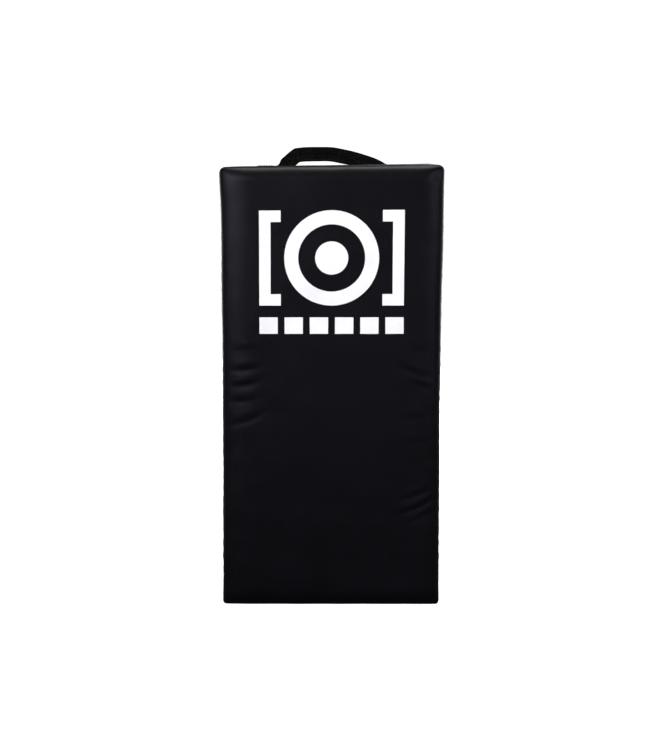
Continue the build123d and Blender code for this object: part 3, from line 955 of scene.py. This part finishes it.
BOX_END = 3.0  # from the end of a strip to its stitched box
BOX_IN = 3.5  # from a strip's long edge to its stitched box


def end_boxes(web, reach, half):
    """The stitched boxes at both ends of a strip, which reach this far from its ends."""
    length = web.along[-1]
    ends = [(BOX_END, reach), (length - reach, length - BOX_END)]
    return [run for a, b in ends for run in box_and_cross(web, a, b, half - BOX_IN)]


# The two bands down the back
BAND_T = 2.0
BAND_STITCH_IN = 3.2  # from a band's long edge to its stitches
BAND_STITCH_END = 4.0  # from a band's end to its stitches
SIDE_NAMES = (("left", -1), ("right", 1))
band_runs = []
for name, side in SIDE_NAMES:
    low, high = box_mm(f"back_band_{name}")
    middle = np.arange(low[2] + 2.4, high[2] - 2.2, 3.0)
    rows = np.concatenate([low[2] + EDGE_PLACES, middle, high[2] - EDGE_PLACES[::-1]])
    cols = across_places(BAND_HALF)
    up, out = np.meshgrid(rows, cols, indexing="ij")
    wave = 0.25 * ripple(up, out, 70, 61 + side) + 0.35 * bump_at(np.abs(out), 0, 9)
    sway = 0.5 * ripple(up, 0 * up, 210, 64 + side)
    points = np.stack([side * BAND_MID + out + sway, BACK_Y + BAND_T / 2 + wave, up], axis=-1)
    band = Web(points, rows, cols, BAND_T)
    band.face(BACKWARD)
    dress(band.piece(f"band_{name}"), WEBBING, "shield", [f"back_band_{name}"])
    edge = BAND_HALF - BAND_STITCH_IN
    foot, head = low[2] + BAND_STITCH_END, high[2] - BAND_STITCH_END
    lines = [[(foot, k * edge), (head, k * edge)] for k in (-1, 1)]
    lines += [[(z, -edge), (z, edge)] for z in (foot, head)]
    band_runs += [band.run(line, BAND_T / 2) for line in lines]
dress(thread_piece("band_stitches", band_runs), THREAD, "shield")

# ---------------------------------------------------------------- folded handles

WEB_HALF = 23.2  # half the width of the handles' webbing
FOLD_REACH = 3.4  # how much of the webbing the fold's bend takes, on each side
GROOVE_AT = 14.0  # from the fold to the line of stitches that holds the two leaves together
HANDLE_BOX = 30.0  # from a handle's end to the far side of its stitched box
TACK_STEP = 2.2  # between the two rows of stitches across each end of the grip
TACK_IN = 4.5  # from the fold to where those rows and the crosses begin
CROSS_OUT = 19.0  # from the fold to the outer ends of the crosses beside the grip
LEAF_EDGE_IN = 2.4  # from a leaf's edge to the stitches along it


def spline(keys, step=1.6):
    """A smooth line through rows of numbers whose first two are a place on a plane."""
    keys = np.array(keys, float)
    chord = line_lengths(keys[:, :2])
    tangents = np.gradient(keys, chord, axis=0)
    slopes = np.diff(keys, axis=0) / np.diff(chord)[:, None]
    level = np.zeros(keys.shape, bool)
    level[1:-1] = slopes[:-1] * slopes[1:] <= 0
    level[0] = level[-1] = True
    tangents = np.where(level, np.where(np.arange(keys.shape[1]) < 2, tangents, 0), tangents)
    places = np.linspace(0, chord[-1], int(chord[-1] / step) + 1)
    i = np.clip(np.searchsorted(chord, places, side="right") - 1, 0, len(chord) - 2)
    width = (chord[i + 1] - chord[i])[:, None]
    t = ((places - chord[i]) / width[:, 0])[:, None]
    h00, h10 = 2 * t**3 - 3 * t**2 + 1, t**3 - 2 * t**2 + t
    h01, h11 = -2 * t**3 + 3 * t**2, t**3 - t**2
    return h00 * keys[i] + h10 * width * tangents[i] + h01 * keys[i + 1] + h11 * width * tangents[i + 1]


def folded_web(keys, to_frame, seed):
    """Webbing that lies flat at both ends and is folded in half along its middle between them.
    Each key is a place of the fold line, along and above what it is sewn to, and the angle in
    degrees that each leaf is folded down by."""
    line = spline(keys)
    place, fold = line[:, :2], np.radians(np.clip(line[:, 2], 0, 90))
    along = line_lengths(place)
    tangent = unit(np.gradient(place, axis=0))
    inward = np.stack([tangent[:, 1], -tangent[:, 0]], axis=1)
    cols = across_places(WEB_HALF, 1.1)
    steps = np.diff(cols)
    middle = (cols[1:] + cols[:-1]) / 2
    bend = np.clip(np.abs(middle) / FOLD_REACH, 0, 1)[None, :] * fold[:, None]
    start = np.zeros((len(line), 1))
    sideways = np.concatenate([start, np.cumsum(np.cos(bend) * steps, axis=1)], axis=1)
    down = np.concatenate([start, np.cumsum(np.sign(middle) * np.sin(bend) * steps, axis=1)], axis=1)
    centre = len(cols) // 2
    sideways -= (sideways[:, centre : centre + 1] + sideways[:, centre - 1 : centre]) / 2
    down -= down.min(axis=1, keepdims=True)
    held = smoothstep(np.degrees(fold), 55, 84)[:, None]
    pinch = 1.15 * bump_at(np.abs(cols), GROOVE_AT, 2.6) + 0.7 * smoothstep(np.abs(cols), 8, GROOVE_AT)
    sideways = sideways - np.sign(cols) * held * pinch
    sideways = sideways + held * 0.35 * ripple(along[:, None], cols[None, :], 34, seed)
    sway = 0.5 * held * ripple(along[:, None], 0 * cols[None, :], 60, seed + 1)
    down = down + sway * (np.abs(cols) / WEB_HALF)
    flat = place[:, None, :] + inward[:, None, :] * down[..., None]
    points = to_frame(flat[..., 0], flat[..., 1], sideways)
    return Web(points, along, cols), line


def mirrored(side):
    """The keys of a handle that is the same on both sides of its middle."""
    return side + tuple((-p, q, fold) for p, q, fold in reversed(side))


def bending(piece, material, replaces=()):
    """Dresses a piece without giving it a body, and bakes its place into its mesh."""
    dress(piece, material, replaces=replaces)
    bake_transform(piece)


def handle_pieces(name, keys, to_frame, body, start, end, replaces, grip, extra, seed):
    """A folded handle and its stitches, dressed without a body and baked in place."""
    web, line = folded_web(keys, to_frame, seed)
    low, high = (to_frame(np.zeros(1), np.full(1, up), np.zeros(1)) for up in (0.0, 1.0))
    web.face((high - low)[0], 2)
    bending(web.piece(name), WEBBING, replaces)
    lift = WEB_T / 2
    runs = end_boxes(web, HANDLE_BOX, WEB_HALF)
    grip_start, grip_end = (float(np.interp(x, line[:, 0], web.along)) for x in grip)
    for leaf in (-1, 1):
        for tack in (0.0, TACK_STEP):
            for at in (grip_start + tack, grip_end - tack):
                runs.append(web.run([(at, leaf * TACK_IN), (at, leaf * (WEB_HALF - 2))], lift))
        for out in (GROOVE_AT, WEB_HALF - LEAF_EDGE_IN):
            runs.append(web.run([(grip_start, leaf * out), (grip_end, leaf * out)], lift))
        for from_x, to_x in extra:
            a, b = (float(np.interp(x, line[:, 0], web.along)) for x in (from_x, to_x))
            runs.append(web.run([(a, leaf * TACK_IN), (b, leaf * CROSS_OUT)], lift))
            runs.append(web.run([(a, leaf * CROSS_OUT), (b, leaf * TACK_IN)], lift))
    bending(thread_piece(f"{name}_stitches", runs), HANDLE_THREAD)


# The fold line of the top handle: steep on the left, sloping down on the right.
TOP_KEYS = (
    (-119.5, 1.2, 0),
    (-104, 1.2, 0),
    (-93, 1.3, 2),
    (-86.5, 2.2, 14),
    (-83.0, 5.6, 50),
    (-80.8, 10.8, 72),
    (-73.5, 17.6, 83),
    (-66.0, 24.0, 86),
    (-59.0, 28.6, 88),
    (-50.0, 29.9, 88),
    (-20.0, 30.6, 88),
    (2.0, 29.8, 88),
    (20.0, 26.4, 87),
    (36.0, 22.6, 72),
    (52.0, 17.8, 51),
    (68.0, 12.2, 33),
    (80.0, 6.6, 17),
    (87.0, 2.6, 6),
    (95.0, 1.3, 1),
    (108, 1.2, 0),
    (123.5, 1.2, 0),
)
TOP_BEND = (2.5, 20)  # how far above the top the handle starts and ends its bend
top_nodes = ["top_handle", "top_handle_tab_left", "top_handle_tab_right"]
handle_pieces(
    "handle_top",
    TOP_KEYS,
    lambda p, q, r: np.stack([p + 0 * r, r + 0 * p, HEIGHT + q + TOP_SLOPE * p / HALF_W + 0 * r], axis=-1),
    "top_handle",
    *[(0, 0, (HEIGHT + up) * MM) for up in TOP_BEND],
    top_nodes,
    (-57.0, 15.0),
    ((-76.0, -60.0), (20.0, 50.0)),
    71,
)

grip_low, grip_high = box_mm("hand_grip")
BANDS_Y = BACK_Y + BAND_T
GRIP_BEND = (3, 30)  # how far behind the bands the grip starts and ends its bend
GRIP_Z = (grip_low[2] + grip_high[2]) / 2
GRIP_TOP = grip_high[1] - BANDS_Y - WEB_T / 2
GRIP_SIDE = (
    (-119.0, 1.2, 0),
    (-104.0, 1.2, 0),
    (-92.0, 1.4, 2),
    (-86.0, 3.6, 12),
    (-82.6, 10.0, 40),
    (-79.0, 20.0, 66),
    (-75.0, 31.0, 80),
    (-69.0, 42.0, 86),
    (-58.0, 50.5, 88),
    (-42.0, GRIP_TOP, 88),
    (-20.0, GRIP_TOP, 88),
)
GRIP_KEYS = mirrored(GRIP_SIDE)
handle_pieces(
    "handle_grip",
    GRIP_KEYS,
    lambda p, q, r: np.stack([p + 0 * r, BANDS_Y + q + 0 * r, GRIP_Z + r + 0 * p], axis=-1),
    "hand_grip",
    *[(0, (BANDS_Y + out) * MM, 0) for out in GRIP_BEND],
    ["hand_grip", "hand_grip_tab_left", "hand_grip_tab_right"],
    (-52.0, 52.0),
    ((-72.0, -56.0), (56.0, 72.0)),
    81,
)

# ---------------------------------------------------------------- forearm strap

strap_low, strap_high = box_mm("forearm_strap")
STRAP_Z = (strap_low[2] + strap_high[2]) / 2
STRAP_HALF = (strap_high[2] - strap_low[2]) / 2
STRAP_TOP = strap_high[1] - BANDS_Y - WEB_T / 2
STRAP_SIDE = (
    (-119.0, 1.2, 0),
    (-104.0, 1.2, 0),
    (-91.0, 1.4, 0),
    (-84.0, 3.6, 0),
    (-77.5, 10.5, 0),
    (-70.0, 21.5, 0),
    (-61.0, 34.5, 0),
    (-50.0, 47.0, 0),
    (-36.0, 55.0, 0),
    (-18.0, STRAP_TOP, 0),
)
strap_line = spline(mirrored(STRAP_SIDE))
strap_along = line_lengths(strap_line[:, :2])
strap_cols = across_places(STRAP_HALF)
row, col = np.meshgrid(strap_along, strap_cols, indexing="ij")
strap_points = np.stack(
    [strap_line[:, :1] + 0 * col, BANDS_Y + strap_line[:, 1:2] + 0 * col, STRAP_Z + col + 0 * row], axis=-1
)
strap = Web(strap_points, strap_along, strap_cols)
strap.face(BACKWARD, 3)
STRAP_NODES = ["forearm_strap", "forearm_strap_tab_left", "forearm_strap_tab_right"]
bending(strap.piece("strap_forearm"), WEBBING, STRAP_NODES)
STRAP_BOX = 31.0
strap_runs = end_boxes(strap, STRAP_BOX, STRAP_HALF)
bending(thread_piece("strap_stitches", strap_runs), THREAD)

# The padded sleeve round the strap
sleeve_low, sleeve_high = box_mm("forearm_sleeve")
SLEEVE_HALF = sleeve_high[0]
SLEEVE_W = (sleeve_high[2] - sleeve_low[2]) / 2
SLEEVE_T = 5.6
CHANNEL_HALF = 2.4  # half the width of a sewn channel
BINDING_AT = 0.945  # the bound edge's middle, as a share of the sleeve's half width
EDGE_SEAM_AT = 0.85  # the seam beside the binding, as the same share
CHANNELS = (-2, -1, 0, 1, 2)  # the sewn channels, counted from the sleeve's middle


def puffed(piece, held, pressure=60.0, slack=0.03, cap=1.8, frames=20):
    """Swells a piece as cloth between its held seams, and gives its new places in millimetres."""
    rest = np.empty(len(piece.data.vertices) * 3)
    piece.data.vertices.foreach_get("co", rest)
    seams = piece.vertex_groups.new(name="seams")
    seams.add(np.flatnonzero(held).tolist(), 1.0, "REPLACE")
    cloth = piece.modifiers.new("puff", "CLOTH")
    cloth.settings.quality = 8
    cloth.settings.mass = 0.1
    cloth.settings.vertex_group_mass = "seams"
    cloth.settings.use_pressure = True
    cloth.settings.uniform_pressure_force = pressure
    cloth.settings.shrink_min = -slack
    cloth.settings.effector_weights.gravity = 0.0
    cloth.point_cache.frame_start = 1
    cloth.point_cache.frame_end = frames
    for step in range(1, frames + 1):
        bpy.context.scene.frame_set(step)
    solved = np.empty(rest.size)
    evaluated = piece.evaluated_get(bpy.context.evaluated_depsgraph_get())
    evaluated.data.vertices.foreach_get("co", solved)
    piece.modifiers.remove(cloth)
    piece.vertex_groups.remove(seams)
    bpy.context.scene.frame_set(1)
    moved = (solved - rest).reshape(-1, 3)
    length = np.linalg.norm(moved, axis=1, keepdims=True)
    moved = moved * np.minimum(1, cap * MM / np.maximum(length, 1e-9))
    places = rest.reshape(-1, 3) + moved
    piece.data.vertices.foreach_set("co", places.ravel())
    piece.data.update()
    return places / MM


def sleeve():
    """A padded sleeve: fuller between its sewn channels, thin at its bound edges."""
    inside = np.abs(strap_line[:, 0]) <= SLEEVE_HALF + 0.8
    first, last = np.flatnonzero(inside)[[0, -1]]
    start, end = strap_along[first], strap_along[last]
    rows = np.concatenate([start + np.array([0, 0.5, 1.4, 2.6]), np.arange(start + 4, end - 3.5, 1.8)])
    rows = np.concatenate([rows, end - np.array([2.6, 1.4, 0.5, 0])])
    cols = np.concatenate([np.linspace(-1, -0.9, 6), np.linspace(-0.88, 0.88, 37), np.linspace(0.9, 1, 6)])
    cols = cols * SLEEVE_W
    u, v = np.meshgrid(rows, cols, indexing="ij")
    places = np.stack([u.ravel(), np.zeros(u.size)], axis=1)
    centre = sample(strap.points, strap.along, strap.across, places).reshape(*u.shape, 3)
    look = unit(sample(strap.normals, strap.along, strap.across, places)).reshape(*u.shape, 3)
    centre = centre + np.array([0, 0, 1]) * v[..., None]
    share = np.abs(v) / SLEEVE_W
    mid = (start + end) / 2
    length = (end - start) / 2
    reach = np.abs(u - mid) / length
    crown = np.clip(1 - share**3.2, 0, 1) ** 0.5 * np.clip(1 - reach**9, 0, 1) ** 0.5
    binding = 1.15 * bump_at(share, BINDING_AT, 0.03)
    channels = sum(bump_at(u, mid + k * length / 3, CHANNEL_HALF) for k in CHANNELS)
    channels = channels * smoothstep(0.84 - share, 0, 0.06)
    edge_line = bump_at(share, EDGE_SEAM_AT, 0.03)
    puff = 0.35 * ripple(u, v, 24, 91) * (1 - share)
    half = 1.0 + (SLEEVE_T - 1.0) * crown - 1.5 * channels * crown - 1.6 * edge_line + binding + puff * crown
    half = np.maximum(half, np.where(share > 0.995, 0.25, 1.5))
    half = np.where(reach > 0.995, np.minimum(half, 1.6), half)
    outer = centre + look * half[..., None]
    inner = centre - look * half[..., None]
    piece = slab("sleeve_pad", outer, inner)
    sewn = (channels > 0.35) | (share > 0.83) | (reach > 0.95)
    outer, inner = puffed(piece, np.concatenate([sewn.ravel(), sewn.ravel()])).reshape(2, *u.shape, 3)
    dress(piece, SLEEVE, "forearm_strap", ["forearm_sleeve"])
    runs = []
    for surface, side in ((outer, 1), (inner, -1)):
        shell = Web(surface, rows, cols, 1)
        shell.normals = look
        for k in (-1, 1):
            edge = k * EDGE_SEAM_AT * SLEEVE_W
            runs.append(shell.run([(start + 3, edge), (end - 3, edge)], 0.25, side))
        for k in CHANNELS:
            at = mid + k * length / 3
            runs.append(shell.run([(at, -0.8 * SLEEVE_W), (at, 0.8 * SLEEVE_W)], 0.2, side))
    dress(thread_piece("sleeve_stitches", runs), THREAD, "forearm_strap")


sleeve()

# ---------------------------------------------------------------- zip

COIL_PITCH = 1.55
COIL_WIRE = 0.42
COIL_STEPS = 11  # points on one turn of the coil
COIL_SIDES = 6


def zip_tape(name, side):
    low, high = box_mm(f"zip_tape_{name}")
    x_line = np.linspace(low[0], high[0], 160)
    z_line = np.linspace(low[2], high[2], 14)
    x, z = np.meshgrid(x_line, z_line, indexing="ij")
    mid_y = (low[1] + high[1]) / 2
    sag = 0.1 * ripple(x, z, 30, 95 + side) - 0.22 * smoothstep(np.abs(z - ZIP_Z), 6, 13)
    centre = np.stack([x, mid_y + sag - 0.1, z], axis=-1)
    half = np.array([0, 0.33, 0])
    piece = slab(f"tape_{name}", centre + half, centre - half, sharp=50)
    dress(piece, ZIP_CLOTH, "shield", [f"zip_tape_{name}"])


def zip_coil(name, side):
    """The coil of nylon sewn along one tape."""
    low, high = box_mm(f"zip_coil_{name}")
    turns = int((high[0] - low[0]) / COIL_PITCH)
    angle = np.arange(turns * COIL_STEPS + 1) * 2 * pi / COIL_STEPS
    x = low[0] + COIL_WIRE + angle / (2 * pi) * (high[0] - low[0] - 2 * COIL_WIRE) / turns
    mid = (low + high) / 2
    wide, tall = (high[2] - low[2]) / 2 - COIL_WIRE, (high[1] - low[1]) / 2 - COIL_WIRE
    path = np.stack([x, mid[1] + tall * np.sin(angle), mid[2] + side * wide * np.cos(angle)], axis=1)
    tangent = unit(np.gradient(path, axis=0))
    across = unit(np.cross(tangent, np.array([1.0, 0, 0])))
    other = np.cross(across, tangent)
    ring = (np.arange(COIL_SIDES) * 2 * pi / COIL_SIDES)[None, :, None]
    rings = path[:, None] + COIL_WIRE * (across[:, None] * np.cos(ring) + other[:, None] * np.sin(ring))
    dress(loft(f"coil_{name}", rings), NYLON, "shield", [f"zip_coil_{name}"])


zip_tape("upper", 1)
zip_tape("lower", -1)
zip_coil("upper", 1)
zip_coil("lower", -1)


FLAT_FACE = 1.5 * MM**2  # a larger face of a hard part is flat, and a smaller one belongs to a rounded edge


def softened(node, name, width, material, body):
    """A CAD part with its edges rounded off."""
    piece = bpy.data.objects.new(name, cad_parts[node].data.copy())
    bpy.context.scene.collection.objects.link(piece)
    mesh = bmesh.new()
    mesh.from_mesh(piece.data)
    bmesh.ops.remove_doubles(mesh, verts=mesh.verts, dist=1e-6)
    bmesh.ops.dissolve_limit(mesh, angle_limit=radians(2), verts=mesh.verts, edges=mesh.edges)
    edges = [e for e in mesh.edges if len(e.link_faces) == 2 and e.calc_face_angle() > radians(35)]
    shape = {"segments": 2, "profile": 0.6, "affect": "EDGES", "clamp_overlap": True}
    bmesh.ops.bevel(mesh, geom=edges, offset=width * MM, **shape)
    bmesh.ops.recalc_face_normals(mesh, faces=mesh.faces)
    mesh.to_mesh(piece.data)
    mesh.free()
    for face in piece.data.polygons:
        face.use_smooth = face.area < FLAT_FACE
    return dress(piece, material, body, [node])


softened("zip_slider", "slider", 0.28, METAL, "zip_slider")
softened("zip_pull", "slider_pull", 0.3, METAL, "zip_pull")
softened("zip_end_stops", "end_stops", 0.3, NYLON, "shield")

# The leather patches over the zip's ends
PATCH_REST_Z = ZIP_Z + 17  # the height whose leather they lie level with
PATCH_LIFT = 0.6
PATCH_STITCH_IN = 2.6  # from a patch's edge to its stitches
patch_runs = []
for name, side in SIDE_NAMES:
    low, high = box_mm(f"zip_patch_{name}")
    mid = (low + high) / 2
    half_x, half_z = (high[0] - low[0]) / 2, (high[2] - low[2]) / 2
    cols = across_places(half_x, 1.2)
    rows = across_places(half_z, 1.2)
    up, out = np.meshgrid(rows, cols, indexing="ij")
    share = np.clip(1 - (np.abs(out) / half_x) ** 6, 0, 1) * np.clip(1 - (np.abs(up) / half_z) ** 6, 0, 1)
    swell = 0.25 * np.sqrt(share) + 0.12 * ripple(out, up, 12, 97 + side)
    a, b = half_z - PATCH_STITCH_IN, half_x - PATCH_STITCH_IN
    swell = swell - 0.25 * bump_at(np.abs(out), b, 0.9) - 0.25 * bump_at(np.abs(up), a, 0.9)
    depth = back_y(mid[0] + out, np.full(out.shape, PATCH_REST_Z)) + PATCH_LIFT + swell
    points = np.stack([mid[0] + out, depth, mid[2] + up], axis=-1)
    patch = Web(points, rows, cols, high[1] - low[1])
    patch.face(BACKWARD)
    dress(patch.piece(f"patch_{name}"), PATCH, "shield", [f"zip_patch_{name}"])
    patch_runs.append(patch.run([(-a, -b), (-a, b), (a, b), (a, -b), (-a, -b)], 0.6, step=1.0))
dress(thread_piece("patch_stitches", patch_runs, 0.34, 2.2), THREAD, "shield")


def topstitch(z, half_x, gap=0.15):
    """A line of stitches across the back, on the leather."""
    x = np.arange(-half_x, half_x, 2.0)
    line_z = np.full(x.shape, z)
    px, pz = place_on_outline(x, line_z)
    return np.stack([px, back_y(x, line_z) + gap, pz], axis=1), np.tile([0.0, 1.0, 0.0], (len(x), 1))


ZIP_STITCH_OUT = (SLOT_EDGE + 3.0, SLOT_EDGE + 6.2)
zip_runs = [topstitch(ZIP_Z + side * out, 149) for side in (-1, 1) for out in ZIP_STITCH_OUT]
dress(thread_piece("zip_stitches", zip_runs), THREAD, "shield")

# ---------------------------------------------------------------- floor, light and camera


def stage_material():
    s = Shader("stage")
    place = s.place()
    s.set(Base_Color=s.mix(s.span(s.noise(place, 900.0, 2.0), 0.3, 0.7), grey(0.86), grey(0.9)))
    parts = s.add("ShaderNodeSeparateXYZ", inputs={0: place})
    squares = [s.math("POWER", s.math("ABSOLUTE", parts.outputs[k]), 2.0) for k in (0, 1)]
    away = s.math("SQRT", s.math("ADD", *squares))
    s.set(Roughness=0.85, Specular_IOR_Level=0.1, Emission_Color=grey(1.0))
    s.set(Emission_Strength=s.span(away, 0.5, 2.0, 0.80, 1.0))
    return s.material


def stage():
    """A pale floor that curves up into a backdrop on every side."""
    reach, curve, wall = 9000.0, 2500.0, 7000
    angle = np.linspace(0, pi / 2, 13)
    radii = np.concatenate([[1, 1500, 4000], reach - curve + curve * np.sin(angle), [reach]])
    heights = np.concatenate([[0, 0, 0], curve * (1 - np.cos(angle)), [wall]])
    turn = np.linspace(0, 2 * pi, 65)[:-1]
    points = [[(r * cos(t), r * sin(t), h) for t in turn] for r, h in zip(radii, heights)]
    index = np.arange(len(radii) * len(turn)).reshape(len(radii), len(turn))
    faces = quads(wrapped(index)).tolist() + [index[0].tolist()]
    floor = mesh_piece("floor", np.array(points).reshape(-1, 3), faces)
    floor.data.materials.append(stage_material())
    floor.visible_diffuse = False
    floor.visible_glossy = False


def softbox(name, place, aim, size, power, gloss=True, tint=(1.0, 1.0, 1.0)):
    light = bpy.data.lights.new(name, "AREA")
    light.color = tint
    light.shape = "RECTANGLE"
    light.size, light.size_y = size
    light.energy = power
    lamp = bpy.data.objects.new(name, light)
    lamp.location = place
    lamp.rotation_euler = (Vector(aim) - Vector(place)).to_track_quat("-Z", "Y").to_euler()
    lamp.visible_glossy = gloss
    bpy.context.scene.collection.objects.link(lamp)


VIOLET = (1.0, 0.95, 1.25)

stage()
softbox("key", (-1.24, -2.27, 1.15), (0, 0, 0.5), (0.7, 0.7), 8.8, tint=VIOLET)
softbox("fill", (1.56, -2.27, 1.0), (0, 0, 0.45), (0.6, 0.8), 3.7, tint=VIOLET)
softbox("low", (0.25, -2.2, 0.2), (0, 0, 0.3), (0.8, 0.25), 0.42, tint=VIOLET)
softbox("above", (0.1, -0.3, 2.6), (0, 0, 0.6), (1.4, 1.0), 18)
softbox("behind", (1.5, 2.4, 1.6), (0, 0, 0.4), (2.2, 2.2), 80)
softbox("behind_low", (-2.0, 1.9, 0.7), (0, 0, 0.35), (1.2, 1.6), 34)
softbox("side_left", (-2.8, 0.9, 1.1), (0, 0, 0.35), (1.6, 1.6), 30)
softbox("side_right", (2.8, 0.8, 1.1), (0, 0, 0.35), (1.6, 1.6), 30)
softbox("rim_left", (-1.9, 2.0, 0.35), (0, 0, 0.3), (1.2, 0.6), 16)
softbox("rim_right", (1.9, 2.0, 0.35), (0, 0, 0.3), (1.2, 0.6), 16)
softbox("wash_back", (0.5, 3.4, 1.9), (0, 0, 0.45), (2.4, 1.8), 240, False)
softbox("wash", (-0.4, -3.4, 2.2), (0, 0, 0.55), (2.6, 1.8), 150, False)

scene = bpy.context.scene
scene.world = bpy.data.worlds.new("studio")
scene.world.use_nodes = True
background = scene.world.node_tree.nodes["Background"]
background.inputs["Color"].default_value = (0.95, 0.94, 1.0, 1.0)
background.inputs["Strength"].default_value = 0.03
scene.view_settings.view_transform = "Standard"

CAMERA_AIM = Vector((-0.0106, FACE_Y * MM, 0.3722))
CAMERA_PITCH = radians(6.1)
CAMERA_ROLL = radians(-0.1)
CAMERA_DISTANCE = 2.512
LENS_MM = 88.15
lens = bpy.data.cameras.new("camera")
lens.sensor_fit = "HORIZONTAL"
lens.sensor_width = 36.0
lens.lens = LENS_MM
camera = bpy.data.objects.new("camera", lens)
camera.location = CAMERA_AIM + CAMERA_DISTANCE * Vector((0, -cos(CAMERA_PITCH), sin(CAMERA_PITCH)))
camera.rotation_euler = (radians(90) - CAMERA_PITCH, CAMERA_ROLL, 0)
scene.collection.objects.link(camera)
scene.camera = camera
